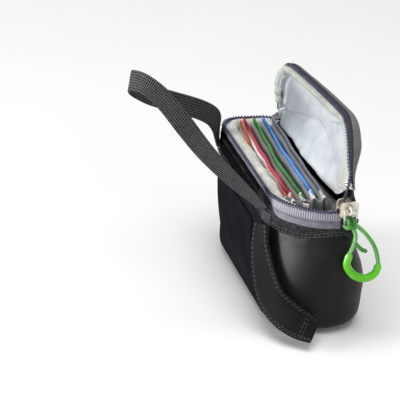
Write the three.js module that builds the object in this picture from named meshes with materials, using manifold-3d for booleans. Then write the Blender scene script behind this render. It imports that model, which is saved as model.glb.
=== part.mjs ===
// Soft zipped case for round lens filters, hung by a webbing strap, standing open.
// Millimetres, +Z up. The back panel faces +Y, the front panel faces -Y, and the zip is drawn
// from the near end at -X. The origin is at the middle of the flat bottom.

import * as THREE from 'three';
import { mergeVertices } from 'three/addons/utils/BufferGeometryUtils.js';
import Module from 'manifold-3d';

const wasm = await Module();
wasm.setup();

// Case
const CASE_WIDTH = 112;
const BASE_DEPTH = 50;
const BASE_RADIUS = 22;
const MOUTH_NEAR_RADIUS = 27;
const MOUTH_NEAR_SWEEP = 192;
const MOUTH_NEAR_FRONT_RADIUS = 6;
const MOUTH_DEPTH_FAR = 30;
const MOUTH_FAR_BACK_RADIUS = 12;
const MOUTH_FAR_FRONT_RADIUS = 8;
const ZIP_HEIGHT = 64;
const WALL_BULGE = 1.4;
const BOTTOM_EDGE = 8;
const FIT_GAP = 0.3;

// Layers of the wall, from the outside in
const NYLON_THICKNESS = 1;
const FOAM_THICKNESS = 2;
const LINING_THICKNESS = 0.7;
const BOTTOM_THICKNESS = 1.2;
const RIM_BAND_HEIGHT = 6;

// Zip
const TAPE_THICKNESS = 0.8;
const TAPE_WIDTH = 6.8;
const COIL_PITCH = 1.6;
const COIL_HEIGHT = 2.1;
const COIL_THICKNESS = 2;
const ROW_GAP = 1.6;

// Slider and its pull
const SLIDER_PARKED = 188;
const BODY_COIL_END = SLIDER_PARKED - 5.5;
const LID_COIL_END = SLIDER_PARKED - 13;
const SLIDER_LENGTH = 9;
const SLIDER_NOSE = 5.4;
const SLIDER_PLATE = 0.9;
const SLIDER_RISE = 3.6;
const SLIDER_CLEARANCE = 0.35;
const LUG_RADIUS = 2.2;
const LUG_LENGTH = 1.8;
const BAIL_WIRE = 1.2;
const BAIL_WIDTH = 6;
const BAIL_LENGTH = 6.3;
const BAIL_PLAY = 0.25;
const CORD_DIAMETER = 2;
const GRIP_DIAMETER = 3.8;

// Lid
const LID_OPEN = 94.7;
const LID_HEIGHT = 9.5;
const LID_SHOULDER = 3.9;
const LID_ROUND = 1.5;
const LID_THICKNESS = 0.9;
const LID_FOAM = 0.8;
const LID_LINING = 0.5;
const HINGE_FOLD_RADIUS = 0.9;
const LID_BINDING_WIDTH = 2;
const LID_BINDING_THICKNESS = 1.2;

// Dividers
const DIVIDER_THICKNESS = 0.7;
const DIVIDER_TRIM_THICKNESS = 0.7;
const DIVIDER_TRIM_HEIGHT = 2.4;
const DIVIDER_BOTTOM = 8;
const DIVIDER_TOP = 67.5;
const DIVIDER_NEAR_X = -40;
const DIVIDER_FAR_X = 43;
const DIVIDERS = [
  { colour: 'orange', y: 17.8, tint: 0xd9784a, near: 3.5, far: -3.5 },
  { colour: 'red', y: 15.2, tint: 0xd2233f, near: 0, far: 0 },
  { colour: 'green', y: 10.3, tint: 0x4fae45, near: 0, far: 0 },
  { colour: 'blue', y: 5.4, tint: 0x3d8fe8, near: 0, far: 0 },
  { colour: 'grey', y: 0.5, tint: 0xaab0b6, near: 0, far: 0 },
];
const GUSSET_FOLD = 3.3;
const GUSSET_BACK_SHARE = 0.3;
const GUSSET_THICKNESS = 0.8;
const GUSSET_TOP = 61;

// Strap and rear flap
const STRAP_WIDTH = 10;
const STRAP_THICKNESS = 1.2;
const STRAP_RISE = 56.5;
const STRAP_REACH = 59;
const FLAP_WIDTH = 15;
const FLAP_THICKNESS = 1.2;
const HOOK_TAPE_WIDTH = 10;
const HOOK_TAPE_THICKNESS = 0.7;
const PATCH_THICKNESS = 0.9;

const rad = THREE.MathUtils.degToRad;
const BACK_Y = BASE_DEPTH / 2;
const NEAR_CENTRE = new THREE.Vector2(-CASE_WIDTH / 2 + MOUTH_NEAR_RADIUS, BACK_Y - MOUTH_NEAR_RADIUS);

// Outlines seen from above: a belt drawn round four discs

function disc(x, y, radius) {
  return { centre: new THREE.Vector2(x, y), radius };
}

function tangentAngle(from, to) {
  const way = to.centre.clone().sub(from.centre);
  return way.angle() - Math.acos((from.radius - to.radius) / way.length());
}

function belt(discs) {
  const runs = [];
  const count = discs.length;
  discs.forEach((here, i) => {
    const next = discs[(i + 1) % count];
    const start = tangentAngle(discs[(i + count - 1) % count], here);
    const turn = THREE.MathUtils.euclideanModulo(tangentAngle(here, next) - start, 2 * Math.PI);
    const end = start + turn;
    const onArc = (t) => ({ from: here, angle: start + turn * t });
    runs.push({ at: onArc, length: here.radius * turn, start, turn });
    const normal = new THREE.Vector2(Math.cos(end), Math.sin(end));
    const a = here.centre.clone().addScaledVector(normal, here.radius);
    const b = next.centre.clone().addScaledVector(normal, next.radius);
    const onLine = (t) => ({ point: a.clone().lerp(b, t), angle: end });
    runs.push({ at: onLine, length: a.distanceTo(b), start: end, turn: 0 });
  });
  return runs;
}

function spot(runs, run, t) {
  const { from, point, angle } = runs[run].at(t);
  const normal = new THREE.Vector2(Math.cos(angle), Math.sin(angle));
  return { point: point ?? from.centre.clone().addScaledVector(normal, from.radius), normal };
}

// The near-front disc touches the near disc from inside, so the near end turns in one long sweep
const DISC_PLAY = 0.005;
const nearFront = NEAR_CENTRE.clone().add(
  new THREE.Vector2(MOUTH_NEAR_RADIUS - MOUTH_NEAR_FRONT_RADIUS + DISC_PLAY, 0).rotateAround(
    new THREE.Vector2(), rad(MOUTH_NEAR_SWEEP),
  ),
);
const FAR_X = CASE_WIDTH / 2;
const FRONT_Y = BACK_Y - MOUTH_DEPTH_FAR;
const MOUTH = belt([
  disc(NEAR_CENTRE.x, NEAR_CENTRE.y, MOUTH_NEAR_RADIUS),
  disc(nearFront.x, nearFront.y, MOUTH_NEAR_FRONT_RADIUS),
  disc(FAR_X - MOUTH_FAR_FRONT_RADIUS, FRONT_Y + MOUTH_FAR_FRONT_RADIUS, MOUTH_FAR_FRONT_RADIUS),
  disc(FAR_X - MOUTH_FAR_BACK_RADIUS, BACK_Y - MOUTH_FAR_BACK_RADIUS, MOUTH_FAR_BACK_RADIUS),
]);
const baseX = FAR_X - BASE_RADIUS;
const baseY = BACK_Y - BASE_RADIUS;
const BASE = belt([
  disc(-baseX, baseY, BASE_RADIUS),
  disc(-baseX, -baseY, BASE_RADIUS),
  disc(baseX, -baseY, BASE_RADIUS),
  disc(baseX, baseY, BASE_RADIUS),
]);

// The runs of an outline, in order, and the steps each is drawn in
const RUN = { nearArc: 0, nearFront: 2, front: 3, farFront: 4, farBack: 6, back: 7 };
const RUN_STEPS = [9, 1, 4, 4, 4, 1, 5, 4];
const MARK_GAP = 0.03;
const LOOP = RUN_STEPS.flatMap((steps, run) => (
  Array.from({ length: steps }, (_, i) => ({ run, t: i / steps }))
));

function arcAt(run, degrees) {
  const { start, turn } = MOUTH[run];
  return { run, t: THREE.MathUtils.euclideanModulo(rad(degrees) - start, 2 * Math.PI) / turn };
}

const nearArcAt = (degrees) => arcAt(RUN.nearArc, degrees);
const farBackAt = (degrees) => arcAt(RUN.farBack, degrees);

// Marks of the loop from one place on an outline to another, anticlockwise, with both ends
function between(from, to) {
  const begin = from.run + from.t;
  const ahead = (mark) => THREE.MathUtils.euclideanModulo(mark.run + mark.t - begin, MOUTH.length);
  const span = ahead(to);
  const inside = LOOP.filter((mark) => ahead(mark) > MARK_GAP && ahead(mark) < span - MARK_GAP);
  return [from, ...inside.sort((p, q) => ahead(p) - ahead(q)), to];
}

// Places from one mark to another, anticlockwise, in even steps of about one length
function evenly(from, to, stepLength) {
  const corners = Array.from({ length: MOUTH.length + 1 }, (_, i) => (from.run + i) % MOUTH.length);
  const marks = [];
  for (const [i, run] of corners.entries()) {
    const last = run === to.run && (i > 0 || to.t > from.t);
    const begin = i === 0 ? from.t : 0;
    const end = last ? to.t : 1;
    const steps = Math.max(1, Math.round((MOUTH[run].length * (end - begin)) / stepLength));
    marks.push(...Array.from({ length: steps }, (_, k) => ({ run, t: begin + ((end - begin) * k) / steps })));
    if (last) {
      return [...marks, to];
    }
  }
  return marks;
}

// Heights of the bands round the mouth, from the zip line down
const COIL_BOTTOM = ZIP_HEIGHT - ROW_GAP / 2 - COIL_HEIGHT;
const TAPE_TOP = COIL_BOTTOM - FIT_GAP;
const TAPE_BOTTOM = TAPE_TOP - TAPE_WIDTH;
const RIM_TOP = TAPE_BOTTOM - FIT_GAP;
const RIM_BOTTOM = RIM_TOP - RIM_BAND_HEIGHT;
const SHELL_TOP = RIM_BOTTOM - FIT_GAP;

// Depths of the layers behind the outer face, and their lifts off the bottom
const FOAM_INSET = NYLON_THICKNESS + FIT_GAP;
const FOAM_LIFT = BOTTOM_THICKNESS + FIT_GAP + 0.2;
const LINING_INSET = FOAM_INSET + FOAM_THICKNESS + FIT_GAP;
const LINING_LIFT = FOAM_LIFT + FOAM_THICKNESS + FIT_GAP + 0.2;
const INSIDE = LINING_INSET + LINING_THICKNESS;

// The wall swells a little between the base outline and the mouth outline above it
const WALL_FOOT = LINING_LIFT + BOTTOM_EDGE;
const WALL_HEAD = SHELL_TOP;

function wall(mark, offset, z) {
  const t = THREE.MathUtils.smoothstep(z, WALL_FOOT, WALL_HEAD);
  const low = spot(BASE, mark.run, mark.t);
  const high = spot(MOUTH, mark.run, mark.t);
  const normal = low.normal.lerp(high.normal, t).normalize();
  const rise = THREE.MathUtils.clamp((z - WALL_FOOT) / (WALL_HEAD - WALL_FOOT), 0, 1);
  const reach = offset + WALL_BULGE * Math.sin(Math.PI * rise);
  const point = low.point.lerp(high.point, t).addScaledVector(normal, reach);
  return new THREE.Vector3(point.x, point.y, z);
}

// Closed solids from grids of points

function solid(points, faces) {
  const geometry = new THREE.BufferGeometry();
  const coordinates = points.flatMap((p) => [p.x, p.y, p.z]);
  geometry.setAttribute('position', new THREE.Float32BufferAttribute(coordinates, 3));
  geometry.setIndex(faces.flat());
  return geometry;
}

function quad(faces, a, b, c, d) {
  faces.push([a, b, c], [a, c, d]);
}

// A skin between an outer and an inner grid of rows; each row runs round the outline
function skin(outer, inner, round) {
  const rows = outer.length;
  const columns = outer[0].length;
  const points = [...outer.flat(), ...inner.flat()];
  const faces = [];
  const out = (r, c) => r * columns + (c % columns);
  const into = (r, c) => rows * columns + out(r, c);
  const spans = round ? columns : columns - 1;
  for (let c = 0; c < spans; c += 1) {
    for (let r = 0; r < rows - 1; r += 1) {
      quad(faces, out(r, c), out(r, c + 1), out(r + 1, c + 1), out(r + 1, c));
      quad(faces, into(r, c), into(r + 1, c), into(r + 1, c + 1), into(r, c + 1));
    }
    quad(faces, into(0, c), into(0, c + 1), out(0, c + 1), out(0, c));
    quad(faces, out(rows - 1, c), out(rows - 1, c + 1), into(rows - 1, c + 1), into(rows - 1, c));
  }
  if (!round) {
    for (let r = 0; r < rows - 1; r += 1) {
      const last = columns - 1;
      quad(faces, out(r, 0), out(r + 1, 0), into(r + 1, 0), into(r, 0));
      quad(faces, into(r, last), into(r + 1, last), out(r + 1, last), out(r, last));
    }
  }
  return solid(points, faces);
}

function capFaces(ring, first, up) {
  const flat = ring.map((p) => new THREE.Vector2(p.x, p.y));
  return THREE.ShapeUtils.triangulateShape(flat, []).map(([a, b, c]) => (
    up ? [first + a, first + b, first + c] : [first + a, first + c, first + b]
  ));
}

// A bowl: outer and inner rings from its closed end to its open rim; up tells which way it opens
function bowl(outer, inner, up) {
  const rows = outer.length;
  const columns = outer[0].length;
  const points = [...outer.flat(), ...inner.flat()];
  const faces = [];
  const out = (r, c) => r * columns + (c % columns);
  const into = (r, c) => rows * columns + out(r, c);
  const put = (a, b, c, d) => (up ? quad(faces, a, b, c, d) : quad(faces, d, c, b, a));
  for (let c = 0; c < columns; c += 1) {
    for (let r = 0; r < rows - 1; r += 1) {
      put(out(r, c), out(r, c + 1), out(r + 1, c + 1), out(r + 1, c));
      put(into(r, c), into(r + 1, c), into(r + 1, c + 1), into(r, c + 1));
    }
    put(out(rows - 1, c), out(rows - 1, c + 1), into(rows - 1, c + 1), into(rows - 1, c));
  }
  faces.push(...capFaces(outer[0], 0, !up), ...capFaces(inner[0], rows * columns, up));
  return solid(points, faces);
}

// A section swept along frames, each with an origin and two cross directions
function sweep(frames, section, round = false) {
  const sides = section(0).length;
  const points = frames.flatMap(({ at, across, out }, i) => (
    section(i).map(([u, v]) => at.clone().addScaledVector(across, u).addScaledVector(out, v))
  ));
  const faces = [];
  const spans = round ? frames.length : frames.length - 1;
  for (let i = 0; i < spans; i += 1) {
    const next = (i + 1) % frames.length;
    for (let k = 0; k < sides; k += 1) {
      const l = (k + 1) % sides;
      quad(faces, i * sides + k, i * sides + l, next * sides + l, next * sides + k);
    }
  }
  if (!round) {
    const last = (frames.length - 1) * sides;
    for (let k = 1; k < sides - 1; k += 1) {
      faces.push([0, k + 1, k], [last, last + k, last + k + 1]);
    }
  }
  return solid(points, faces);
}

// Frames whose across, out and heading form a right-handed set
function framesAlong(curve, steps, outAt) {
  return Array.from({ length: steps + 1 }, (_, i) => {
    const t = i / steps;
    const heading = curve.getTangentAt(t);
    const out = outAt(t).clone().addScaledVector(heading, -outAt(t).dot(heading)).normalize();
    return { at: curve.getPointAt(t), across: out.clone().cross(heading), out };
  });
}

function polygonSection(radius, sides) {
  return Array.from({ length: sides }, (_, k) => {
    const angle = (2 * Math.PI * k) / sides;
    return [radius * Math.cos(angle), radius * Math.sin(angle)];
  });
}

function ribbonSection(width, low, high) {
  return [[-width / 2, low], [width / 2, low], [width / 2, high], [-width / 2, high]];
}

// A flat piece on the wall, between two marks, two heights and two offsets
function patch(marks, outer, inner, heights) {
  const grid = (offset) => heights.map((z) => marks.map((mark) => wall(mark, offset, z)));
  return skin(grid(outer), grid(inner), false);
}

function band(outer, inner, heights) {
  const grid = (offset) => heights.map((z) => LOOP.map((mark) => wall(mark, offset, z)));
  return skin(grid(outer), grid(inner), true);
}

// Pieces

const group = new THREE.Group();

function add(parent, name, geometry, colour, roughness = 0.9, metalness = 0) {
  const material = new THREE.MeshStandardMaterial({ color: colour, roughness, metalness });
  const mesh = new THREE.Mesh(geometry, material);
  mesh.name = name;
  parent.add(mesh);
  return mesh;
}

const COLOURS = {
  nylon: 0x1e1d20,
  rim: 0x2c2b2e,
  foam: 0x3a3a3d,
  lining: 0xb9bcc0,
  tape: 0xaaa8b2,
  coil: 0x3a3650,
  lidCloth: 0x77757b,
  lidLining: 0xe0e4e8,
  binding: 0xdfe2dc,
  felt: 0x7a8088,
  nickel: 0xd8d4c8,
  cord: 0x86c27a,
  grip: 0x7ed321,
  webbing: 0x5a5a5c,
  flap: 0x3c3b3d,
  hook: 0x2a2a2c,
  label: 0xe8e6e2,
};

// Outer shell
const TAPE_OUTER = 0.2;
const TAPE_INNER = TAPE_OUTER - TAPE_THICKNESS;

// Heights and insets of the rounded lower edge, for the outer and inner faces of a layer
function edgeProfile(lift, inset, thickness) {
  const e = BOTTOM_EDGE;
  const t = thickness;
  const outer = [[lift, 0.5 * e], [lift + 0.12 * e, 0.22 * e], [lift + 0.4 * e, 0.06 * e], [WALL_FOOT, 0]];
  const steps = [[t, 0.5 * t], [0.7 * t, 0.8 * t], [0.4 * t, 0.95 * t], [0, t]];
  return {
    outer: outer.map(([z, d]) => [z, inset + d]),
    inner: outer.map(([z, d], i) => [z + steps[i][0], inset + d + steps[i][1]]),
  };
}

const SIDE_LEVELS = [0.3, 0.62].map((share) => WALL_FOOT + share * (SHELL_TOP - WALL_FOOT));
const shellEdge = edgeProfile(0.2, 0, NYLON_THICKNESS);
const shellOuter = [...shellEdge.outer, ...SIDE_LEVELS.map((z) => [z, 0]), [SHELL_TOP, 0]];
const shellInner = [
  ...shellEdge.inner,
  ...SIDE_LEVELS.map((z) => [z, NYLON_THICKNESS]),
  [SHELL_TOP, NYLON_THICKNESS],
];

function shellPanel(marks) {
  const grid = (profile) => profile.map(([z, inset]) => marks.map((mark) => wall(mark, -inset, z)));
  return skin(grid(shellOuter), grid(shellInner), false);
}

const SEAM_NEAR = 101;
const SEAM_FAR = 79;
const SEAM_GAP = 1;
add(group, 'side_wrap', shellPanel(between(nearArcAt(SEAM_NEAR), farBackAt(SEAM_FAR))), COLOURS.nylon);
add(group, 'back_panel', shellPanel(
  between(farBackAt(SEAM_FAR + SEAM_GAP), nearArcAt(SEAM_NEAR - SEAM_GAP)),
), COLOURS.nylon);

const BOTTOM_INSET = 0.5 * (BOTTOM_EDGE + NYLON_THICKNESS) + FIT_GAP;
const bottomRing = (z) => LOOP.map((mark) => wall(mark, -BOTTOM_INSET, z));

function bottomPlate() {
  const low = bottomRing(0);
  const high = bottomRing(BOTTOM_THICKNESS);
  const faces = [];
  low.forEach((_, c) => {
    const next = (c + 1) % low.length;
    quad(faces, c, next, low.length + next, low.length + c);
  });
  faces.push(...capFaces(low, 0, false), ...capFaces(high, low.length, true));
  return solid([...low, ...high], faces);
}

add(group, 'bottom_panel', bottomPlate(), COLOURS.nylon);
const RIM_OUTER = 0.1;
add(group, 'rim_band', band(RIM_OUTER, RIM_OUTER - NYLON_THICKNESS, [RIM_BOTTOM, RIM_TOP]), COLOURS.rim);

// Foam cup and lining cup inside the shell
function cup(lift, inset, thickness, top) {
  const { outer, inner } = edgeProfile(lift, inset, thickness);
  const levels = [...SIDE_LEVELS, SHELL_TOP, top];
  const outerRings = [...outer, ...levels.map((z) => [z, inset])];
  const innerRings = [...inner, ...levels.map((z) => [z, inset + thickness])];
  const grid = (rings) => rings.map(([z, d]) => LOOP.map((mark) => wall(mark, -d, z)));
  return bowl(grid(outerRings), grid(innerRings), true);
}

const FOAM_TOP = TAPE_TOP - 1.9;
const LINING_TOP = FOAM_TOP + 0.4;
add(group, 'body_foam', cup(FOAM_LIFT, FOAM_INSET, FOAM_THICKNESS, FOAM_TOP), COLOURS.foam);
add(group, 'body_lining', cup(LINING_LIFT, LINING_INSET, LINING_THICKNESS, LINING_TOP), COLOURS.lining);

// Zip rows: ribbed coils on the edges of two tapes
const BODY_ZIP_START = { run: RUN.farFront, t: 0.15 };
const LID_ZIP_START = { run: RUN.farBack, t: 0 };
const COIL_CENTRE = (TAPE_OUTER + TAPE_INNER) / 2;
const COIL_WAIST = 0.62;

// Faces of the slider's two plates, either side of the rows, as radii of the near end
const ROW_RADIUS = MOUTH_NEAR_RADIUS + COIL_CENTRE;
const LUG_WALL = 0.6;
const SAG = (SLIDER_LENGTH / 2) ** 2 / (2 * ROW_RADIUS);
const PLATE_OUT = ROW_RADIUS + COIL_THICKNESS / 2 + SLIDER_CLEARANCE;
const PLATE_IN = ROW_RADIUS - COIL_THICKNESS / 2 - SLIDER_CLEARANCE - SAG;

function coilRow(start, end, z) {
  const marks = evenly(start, end, COIL_PITCH / 2);
  const frames = marks.map((mark) => {
    const { normal } = spot(MOUTH, mark.run, mark.t);
    return {
      at: wall(mark, COIL_CENTRE, z),
      across: new THREE.Vector3(0, 0, 1),
      out: new THREE.Vector3(normal.x, normal.y, 0),
    };
  });
  const section = (i) => {
    const size = i % 2 === 0 ? 1 : COIL_WAIST;
    const high = (size * COIL_HEIGHT) / 2;
    const thick = (size * COIL_THICKNESS) / 2;
    return polygonSection(1, 5).map(([u, v]) => [u * high, v * thick]);
  };
  return sweep(frames, section);
}

const tapeMarks = between(BODY_ZIP_START, nearArcAt(BODY_COIL_END));
add(group, 'zip_tape_body', patch(tapeMarks, TAPE_OUTER, TAPE_INNER, [TAPE_BOTTOM, TAPE_TOP]), COLOURS.tape);
const bodyRow = coilRow(BODY_ZIP_START, nearArcAt(BODY_COIL_END), COIL_BOTTOM + COIL_HEIGHT / 2);
add(group, 'zip_coil_body', bodyRow, COLOURS.coil, 0.6);

// The front edge of the mouth, where the lid is joined on, is bound by a strip in line with the tape
const STRIP_TOP = ZIP_HEIGHT - HINGE_FOLD_RADIUS - FIT_GAP;
const stripMarks = between({ run: RUN.front, t: 0.02 }, { run: RUN.front, t: 1 });
add(group, 'front_binding', patch(stripMarks, TAPE_OUTER, TAPE_INNER, [TAPE_BOTTOM, STRIP_TOP]), COLOURS.rim);

// The ends of the zip are tucked under folded tabs of tape, below the slider's foot at the near end
const SLIDER_FOOT = -(ROW_GAP / 2 + COIL_HEIGHT + FIT_GAP + SLIDER_PLATE);
const TAB_HIGH = ZIP_HEIGHT + SLIDER_FOOT - 2 * FIT_GAP;
const TAB_LOW = TAPE_BOTTOM;
const tabNear = between({ run: RUN.nearFront, t: 0 }, { run: RUN.nearFront, t: 0.95 });
const tabFar = between({ run: RUN.front, t: 0.95 }, { run: RUN.farFront, t: 0.3 });
const tabHeights = [TAB_LOW, TAB_HIGH];
const tabFace = TAPE_OUTER + FIT_GAP;
add(group, 'zip_end_tab_near', patch(tabNear, TAPE_OUTER, TAPE_INNER, tabHeights), COLOURS.tape);
add(group, 'zip_end_tab_far', patch(tabFar, tabFace + TAPE_THICKNESS, tabFace, tabHeights), COLOURS.tape);

// Pocket dividers with coloured bindings along their tops, held by a pleated gusset at each end
function uprightSheet(y, thickness, near, far, low, high) {
  const sheet = new THREE.BoxGeometry(far - near, thickness, high - low);
  return sheet.translate((near + far) / 2, y, (low + high) / 2);
}

for (const { colour, y, tint, near, far } of DIVIDERS) {
  const nearX = DIVIDER_NEAR_X + near;
  const farX = DIVIDER_FAR_X + far;
  const seam = DIVIDER_TOP - DIVIDER_TRIM_HEIGHT;
  const panelTop = seam - FIT_GAP;
  const panel = uprightSheet(y, DIVIDER_THICKNESS, nearX, farX, DIVIDER_BOTTOM, panelTop);
  const trim = uprightSheet(y, DIVIDER_TRIM_THICKNESS, nearX, farX, seam, DIVIDER_TOP);
  add(group, `divider_${colour}`, panel, COLOURS.felt);
  add(group, `divider_trim_${colour}`, trim, tint);
}

function gusset(side) {
  const ends = DIVIDERS.map(({ y, near, far }) => (
    side < 0
      ? new THREE.Vector2(DIVIDER_NEAR_X + near - FIT_GAP, y)
      : new THREE.Vector2(DIVIDER_FAR_X + far + FIT_GAP, y)
  ));
  const line = ends.flatMap((end, i) => {
    if (i === ends.length - 1) {
      return [end];
    }
    const fold = end.clone().lerp(ends[i + 1], 0.5);
    fold.x += side * (i === 0 ? GUSSET_BACK_SHARE : 1) * GUSSET_FOLD;
    return [end, fold];
  });
  const lift = (x, z) => line.map((p) => new THREE.Vector3(p.x + side * x, p.y, z));
  const outer = [WALL_FOOT, GUSSET_TOP].map((z) => lift(GUSSET_THICKNESS, z));
  const inner = [WALL_FOOT, GUSSET_TOP].map((z) => lift(0, z));
  return side < 0 ? skin(outer, inner, false) : skin(inner, outer, false);
}

add(group, 'gusset_near', gusset(-1), COLOURS.felt);
add(group, 'gusset_far', gusset(1), COLOURS.felt);

// A blank sewn label inside the near end
const LABEL_THICKNESS = 0.5;
const LABEL_HEIGHT = 6;
const labelMarks = between(nearArcAt(152), nearArcAt(170));
const labelFace = -INSIDE - FIT_GAP;
const LABEL_HIGH = LINING_TOP - 1;
const LABEL_LOW = LABEL_HIGH - LABEL_HEIGHT;
const label = patch(labelMarks, labelFace, labelFace - LABEL_THICKNESS, [LABEL_LOW, LABEL_HIGH]);
add(group, 'inner_label', label, COLOURS.label);

// Lid, built closed over the mouth and then swung open about its fold along the front edge
const LID_START = SLIDER_RISE + 2 * FIT_GAP;
const frontStart = spot(MOUTH, RUN.front, 0).point;
const frontEnd = spot(MOUTH, RUN.front, 1).point;
const FRONT_HEADING = frontEnd.clone().sub(frontStart).angle();
const frontNormal = new THREE.Vector2(-Math.sin(FRONT_HEADING), Math.cos(FRONT_HEADING));
const hingeStart = frontStart.clone().addScaledVector(frontNormal, HINGE_FOLD_RADIUS);

const lidTurn = new THREE.Group();
lidTurn.position.set(hingeStart.x, hingeStart.y, ZIP_HEIGHT);
lidTurn.rotation.z = FRONT_HEADING;
const lidSwing = new THREE.Group();
lidSwing.rotation.x = rad(LID_OPEN);
lidTurn.add(lidSwing);
group.add(lidTurn);

function onLid(geometry) {
  geometry.translate(-hingeStart.x, -hingeStart.y, -ZIP_HEIGHT);
  return geometry.rotateZ(-FRONT_HEADING);
}

// Heights over the zip line fall away along the fold
const LID_FOLD_SHARE = 0.34;
const LID_FOLD_RUN = 12;
const LID_RIM_DIP = 1.5;
const LID_LEAST = HINGE_FOLD_RADIUS + FIT_GAP;
const foldLength = frontStart.distanceTo(frontEnd);

function lidHeight(mark, height, dip) {
  const along = mark.run === RUN.front ? Math.min(mark.t, 1 - mark.t) * foldLength : 0;
  const share = 1 - dip * (1 - LID_FOLD_SHARE) * THREE.MathUtils.smoothstep(along, 0, LID_FOLD_RUN);
  return ZIP_HEIGHT + LID_LEAST + (height - LID_LEAST) * share;
}

const lidMiddle = new THREE.Vector2(0, BACK_Y - MOUTH_DEPTH_FAR / 2);

// Rings of the lid from the middle of its top to its rim, sunk by a depth below the outer face
function lidRings(depth) {
  const top = LID_HEIGHT - depth;
  const wallInset = HINGE_FOLD_RADIUS + depth;
  const profile = [
    { scale: 0.45, inset: wallInset + LID_ROUND, height: top, dip: 0 },
    { scale: 0.8, inset: wallInset + LID_ROUND, height: top - 0.5, dip: 0.5 },
    { scale: 1, inset: wallInset + LID_ROUND, height: top - 1.8, dip: 1 },
    { scale: 1, inset: wallInset + 0.5, height: LID_HEIGHT - LID_SHOULDER - 0.4 * depth, dip: 1 },
    { scale: 1, inset: wallInset, height: LID_START, dip: LID_RIM_DIP },
  ];
  return profile.map(({ scale, inset, height, dip }) => LOOP.map((mark) => {
    const { point, normal } = spot(MOUTH, mark.run, mark.t);
    point.addScaledVector(normal, -inset).sub(lidMiddle).multiplyScalar(scale).add(lidMiddle);
    return new THREE.Vector3(point.x, point.y, lidHeight(mark, height, dip));
  }));
}

const lidLayers = [
  ['lid_shell', 0, LID_THICKNESS, COLOURS.lidCloth],
  ['lid_foam', LID_THICKNESS + FIT_GAP, LID_FOAM, COLOURS.foam],
  ['lid_lining', LID_THICKNESS + LID_FOAM + 2 * FIT_GAP, LID_LINING, COLOURS.lidLining],
];
for (const [name, depth, thickness, colour] of lidLayers) {
  add(lidSwing, name, onLid(bowl(lidRings(depth), lidRings(depth + thickness), false)), colour);
}

const lidTapeMarks = between(LID_ZIP_START, nearArcAt(LID_COIL_END));
const LID_TAPE_LOW = COIL_HEIGHT + ROW_GAP / 2 + FIT_GAP;
const LID_TAPE_WIDTH = 3;

function lidStrip(marks, outer, inner, low, high) {
  const grid = (offset) => [low, high].map((height) => marks.map((mark) => {
    const { point, normal } = spot(MOUTH, mark.run, mark.t);
    point.addScaledVector(normal, offset);
    return new THREE.Vector3(point.x, point.y, ZIP_HEIGHT + height);
  }));
  return onLid(skin(grid(outer), grid(inner), false));
}

const LID_TAPE_HIGH = LID_TAPE_LOW + LID_TAPE_WIDTH;
const lidTape = lidStrip(lidTapeMarks, TAPE_OUTER, TAPE_INNER, LID_TAPE_LOW, LID_TAPE_HIGH);
add(lidSwing, 'zip_tape_lid', lidTape, COLOURS.tape);
const lidRow = coilRow(LID_ZIP_START, nearArcAt(LID_COIL_END), ZIP_HEIGHT + (ROW_GAP + COIL_HEIGHT) / 2);
add(lidSwing, 'zip_coil_lid', onLid(lidRow), COLOURS.coil, 0.6);

// The binding lies under the rims of the lid's foam and lining, clear of the slider's inner plate
const BINDING_OUTER = PLATE_IN - SLIDER_PLATE - SLIDER_CLEARANCE - MOUTH_NEAR_RADIUS;
const BINDING_HIGH = LID_START - FIT_GAP;
add(lidSwing, 'lid_binding', lidStrip(
  lidTapeMarks,
  BINDING_OUTER,
  BINDING_OUTER - LID_BINDING_WIDTH,
  BINDING_HIGH - LID_BINDING_THICKNESS,
  BINDING_HIGH,
), COLOURS.binding);

const foldCurve = new THREE.LineCurve3(new THREE.Vector3(0, 0, 0), new THREE.Vector3(foldLength, 0, 0));
const foldFrames = framesAlong(foldCurve, 1, () => new THREE.Vector3(0, 0, 1));
const fold = sweep(foldFrames, () => polygonSection(HINGE_FOLD_RADIUS, 10));
add(lidSwing, 'lid_hinge_fold', fold, COLOURS.nylon);

// Slider on the body row, in a frame of its own: x outward, y along the zip, z up
const sliderTurn = new THREE.Group();
sliderTurn.position.set(NEAR_CENTRE.x, NEAR_CENTRE.y, ZIP_HEIGHT);
sliderTurn.rotation.z = rad(SLIDER_PARKED);
group.add(sliderTurn);

const TAPE_SLOT = TAPE_THICKNESS / 2 + SLIDER_CLEARANCE;
const BRIDGE_HEIGHT = ROW_GAP - 2 * SLIDER_CLEARANCE;
const BRIDGE_LENGTH = 3;

function manifold(geometry) {
  geometry.deleteAttribute('normal');
  geometry.deleteAttribute('uv');
  const merged = mergeVertices(geometry, 1e-4);
  return new wasm.Manifold(new wasm.Mesh({
    numProp: 3,
    vertProperties: Float32Array.from(merged.attributes.position.array),
    triVerts: Uint32Array.from(merged.index.array),
  }));
}

function fromManifold(body) {
  const { vertProperties, triVerts } = body.getMesh();
  const geometry = new THREE.BufferGeometry();
  geometry.setAttribute('position', new THREE.Float32BufferAttribute(vertProperties, 3));
  geometry.setIndex([...triVerts]);
  return geometry;
}

function shapeOf(corners) {
  return new THREE.Shape(corners.map(([x, y]) => new THREE.Vector2(x, y)));
}

// A shape drawn in the x-z plane, drawn out along y about the middle
function alongY(shape, length) {
  const geometry = new THREE.ExtrudeGeometry(shape, { depth: length, bevelEnabled: false, curveSegments: 8 });
  return geometry.rotateX(Math.PI / 2).translate(0, length / 2, 0);
}

const LUG_CENTRE = PLATE_OUT + SLIDER_PLATE + BAIL_WIRE / 2 + BAIL_PLAY + LUG_WALL;

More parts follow.
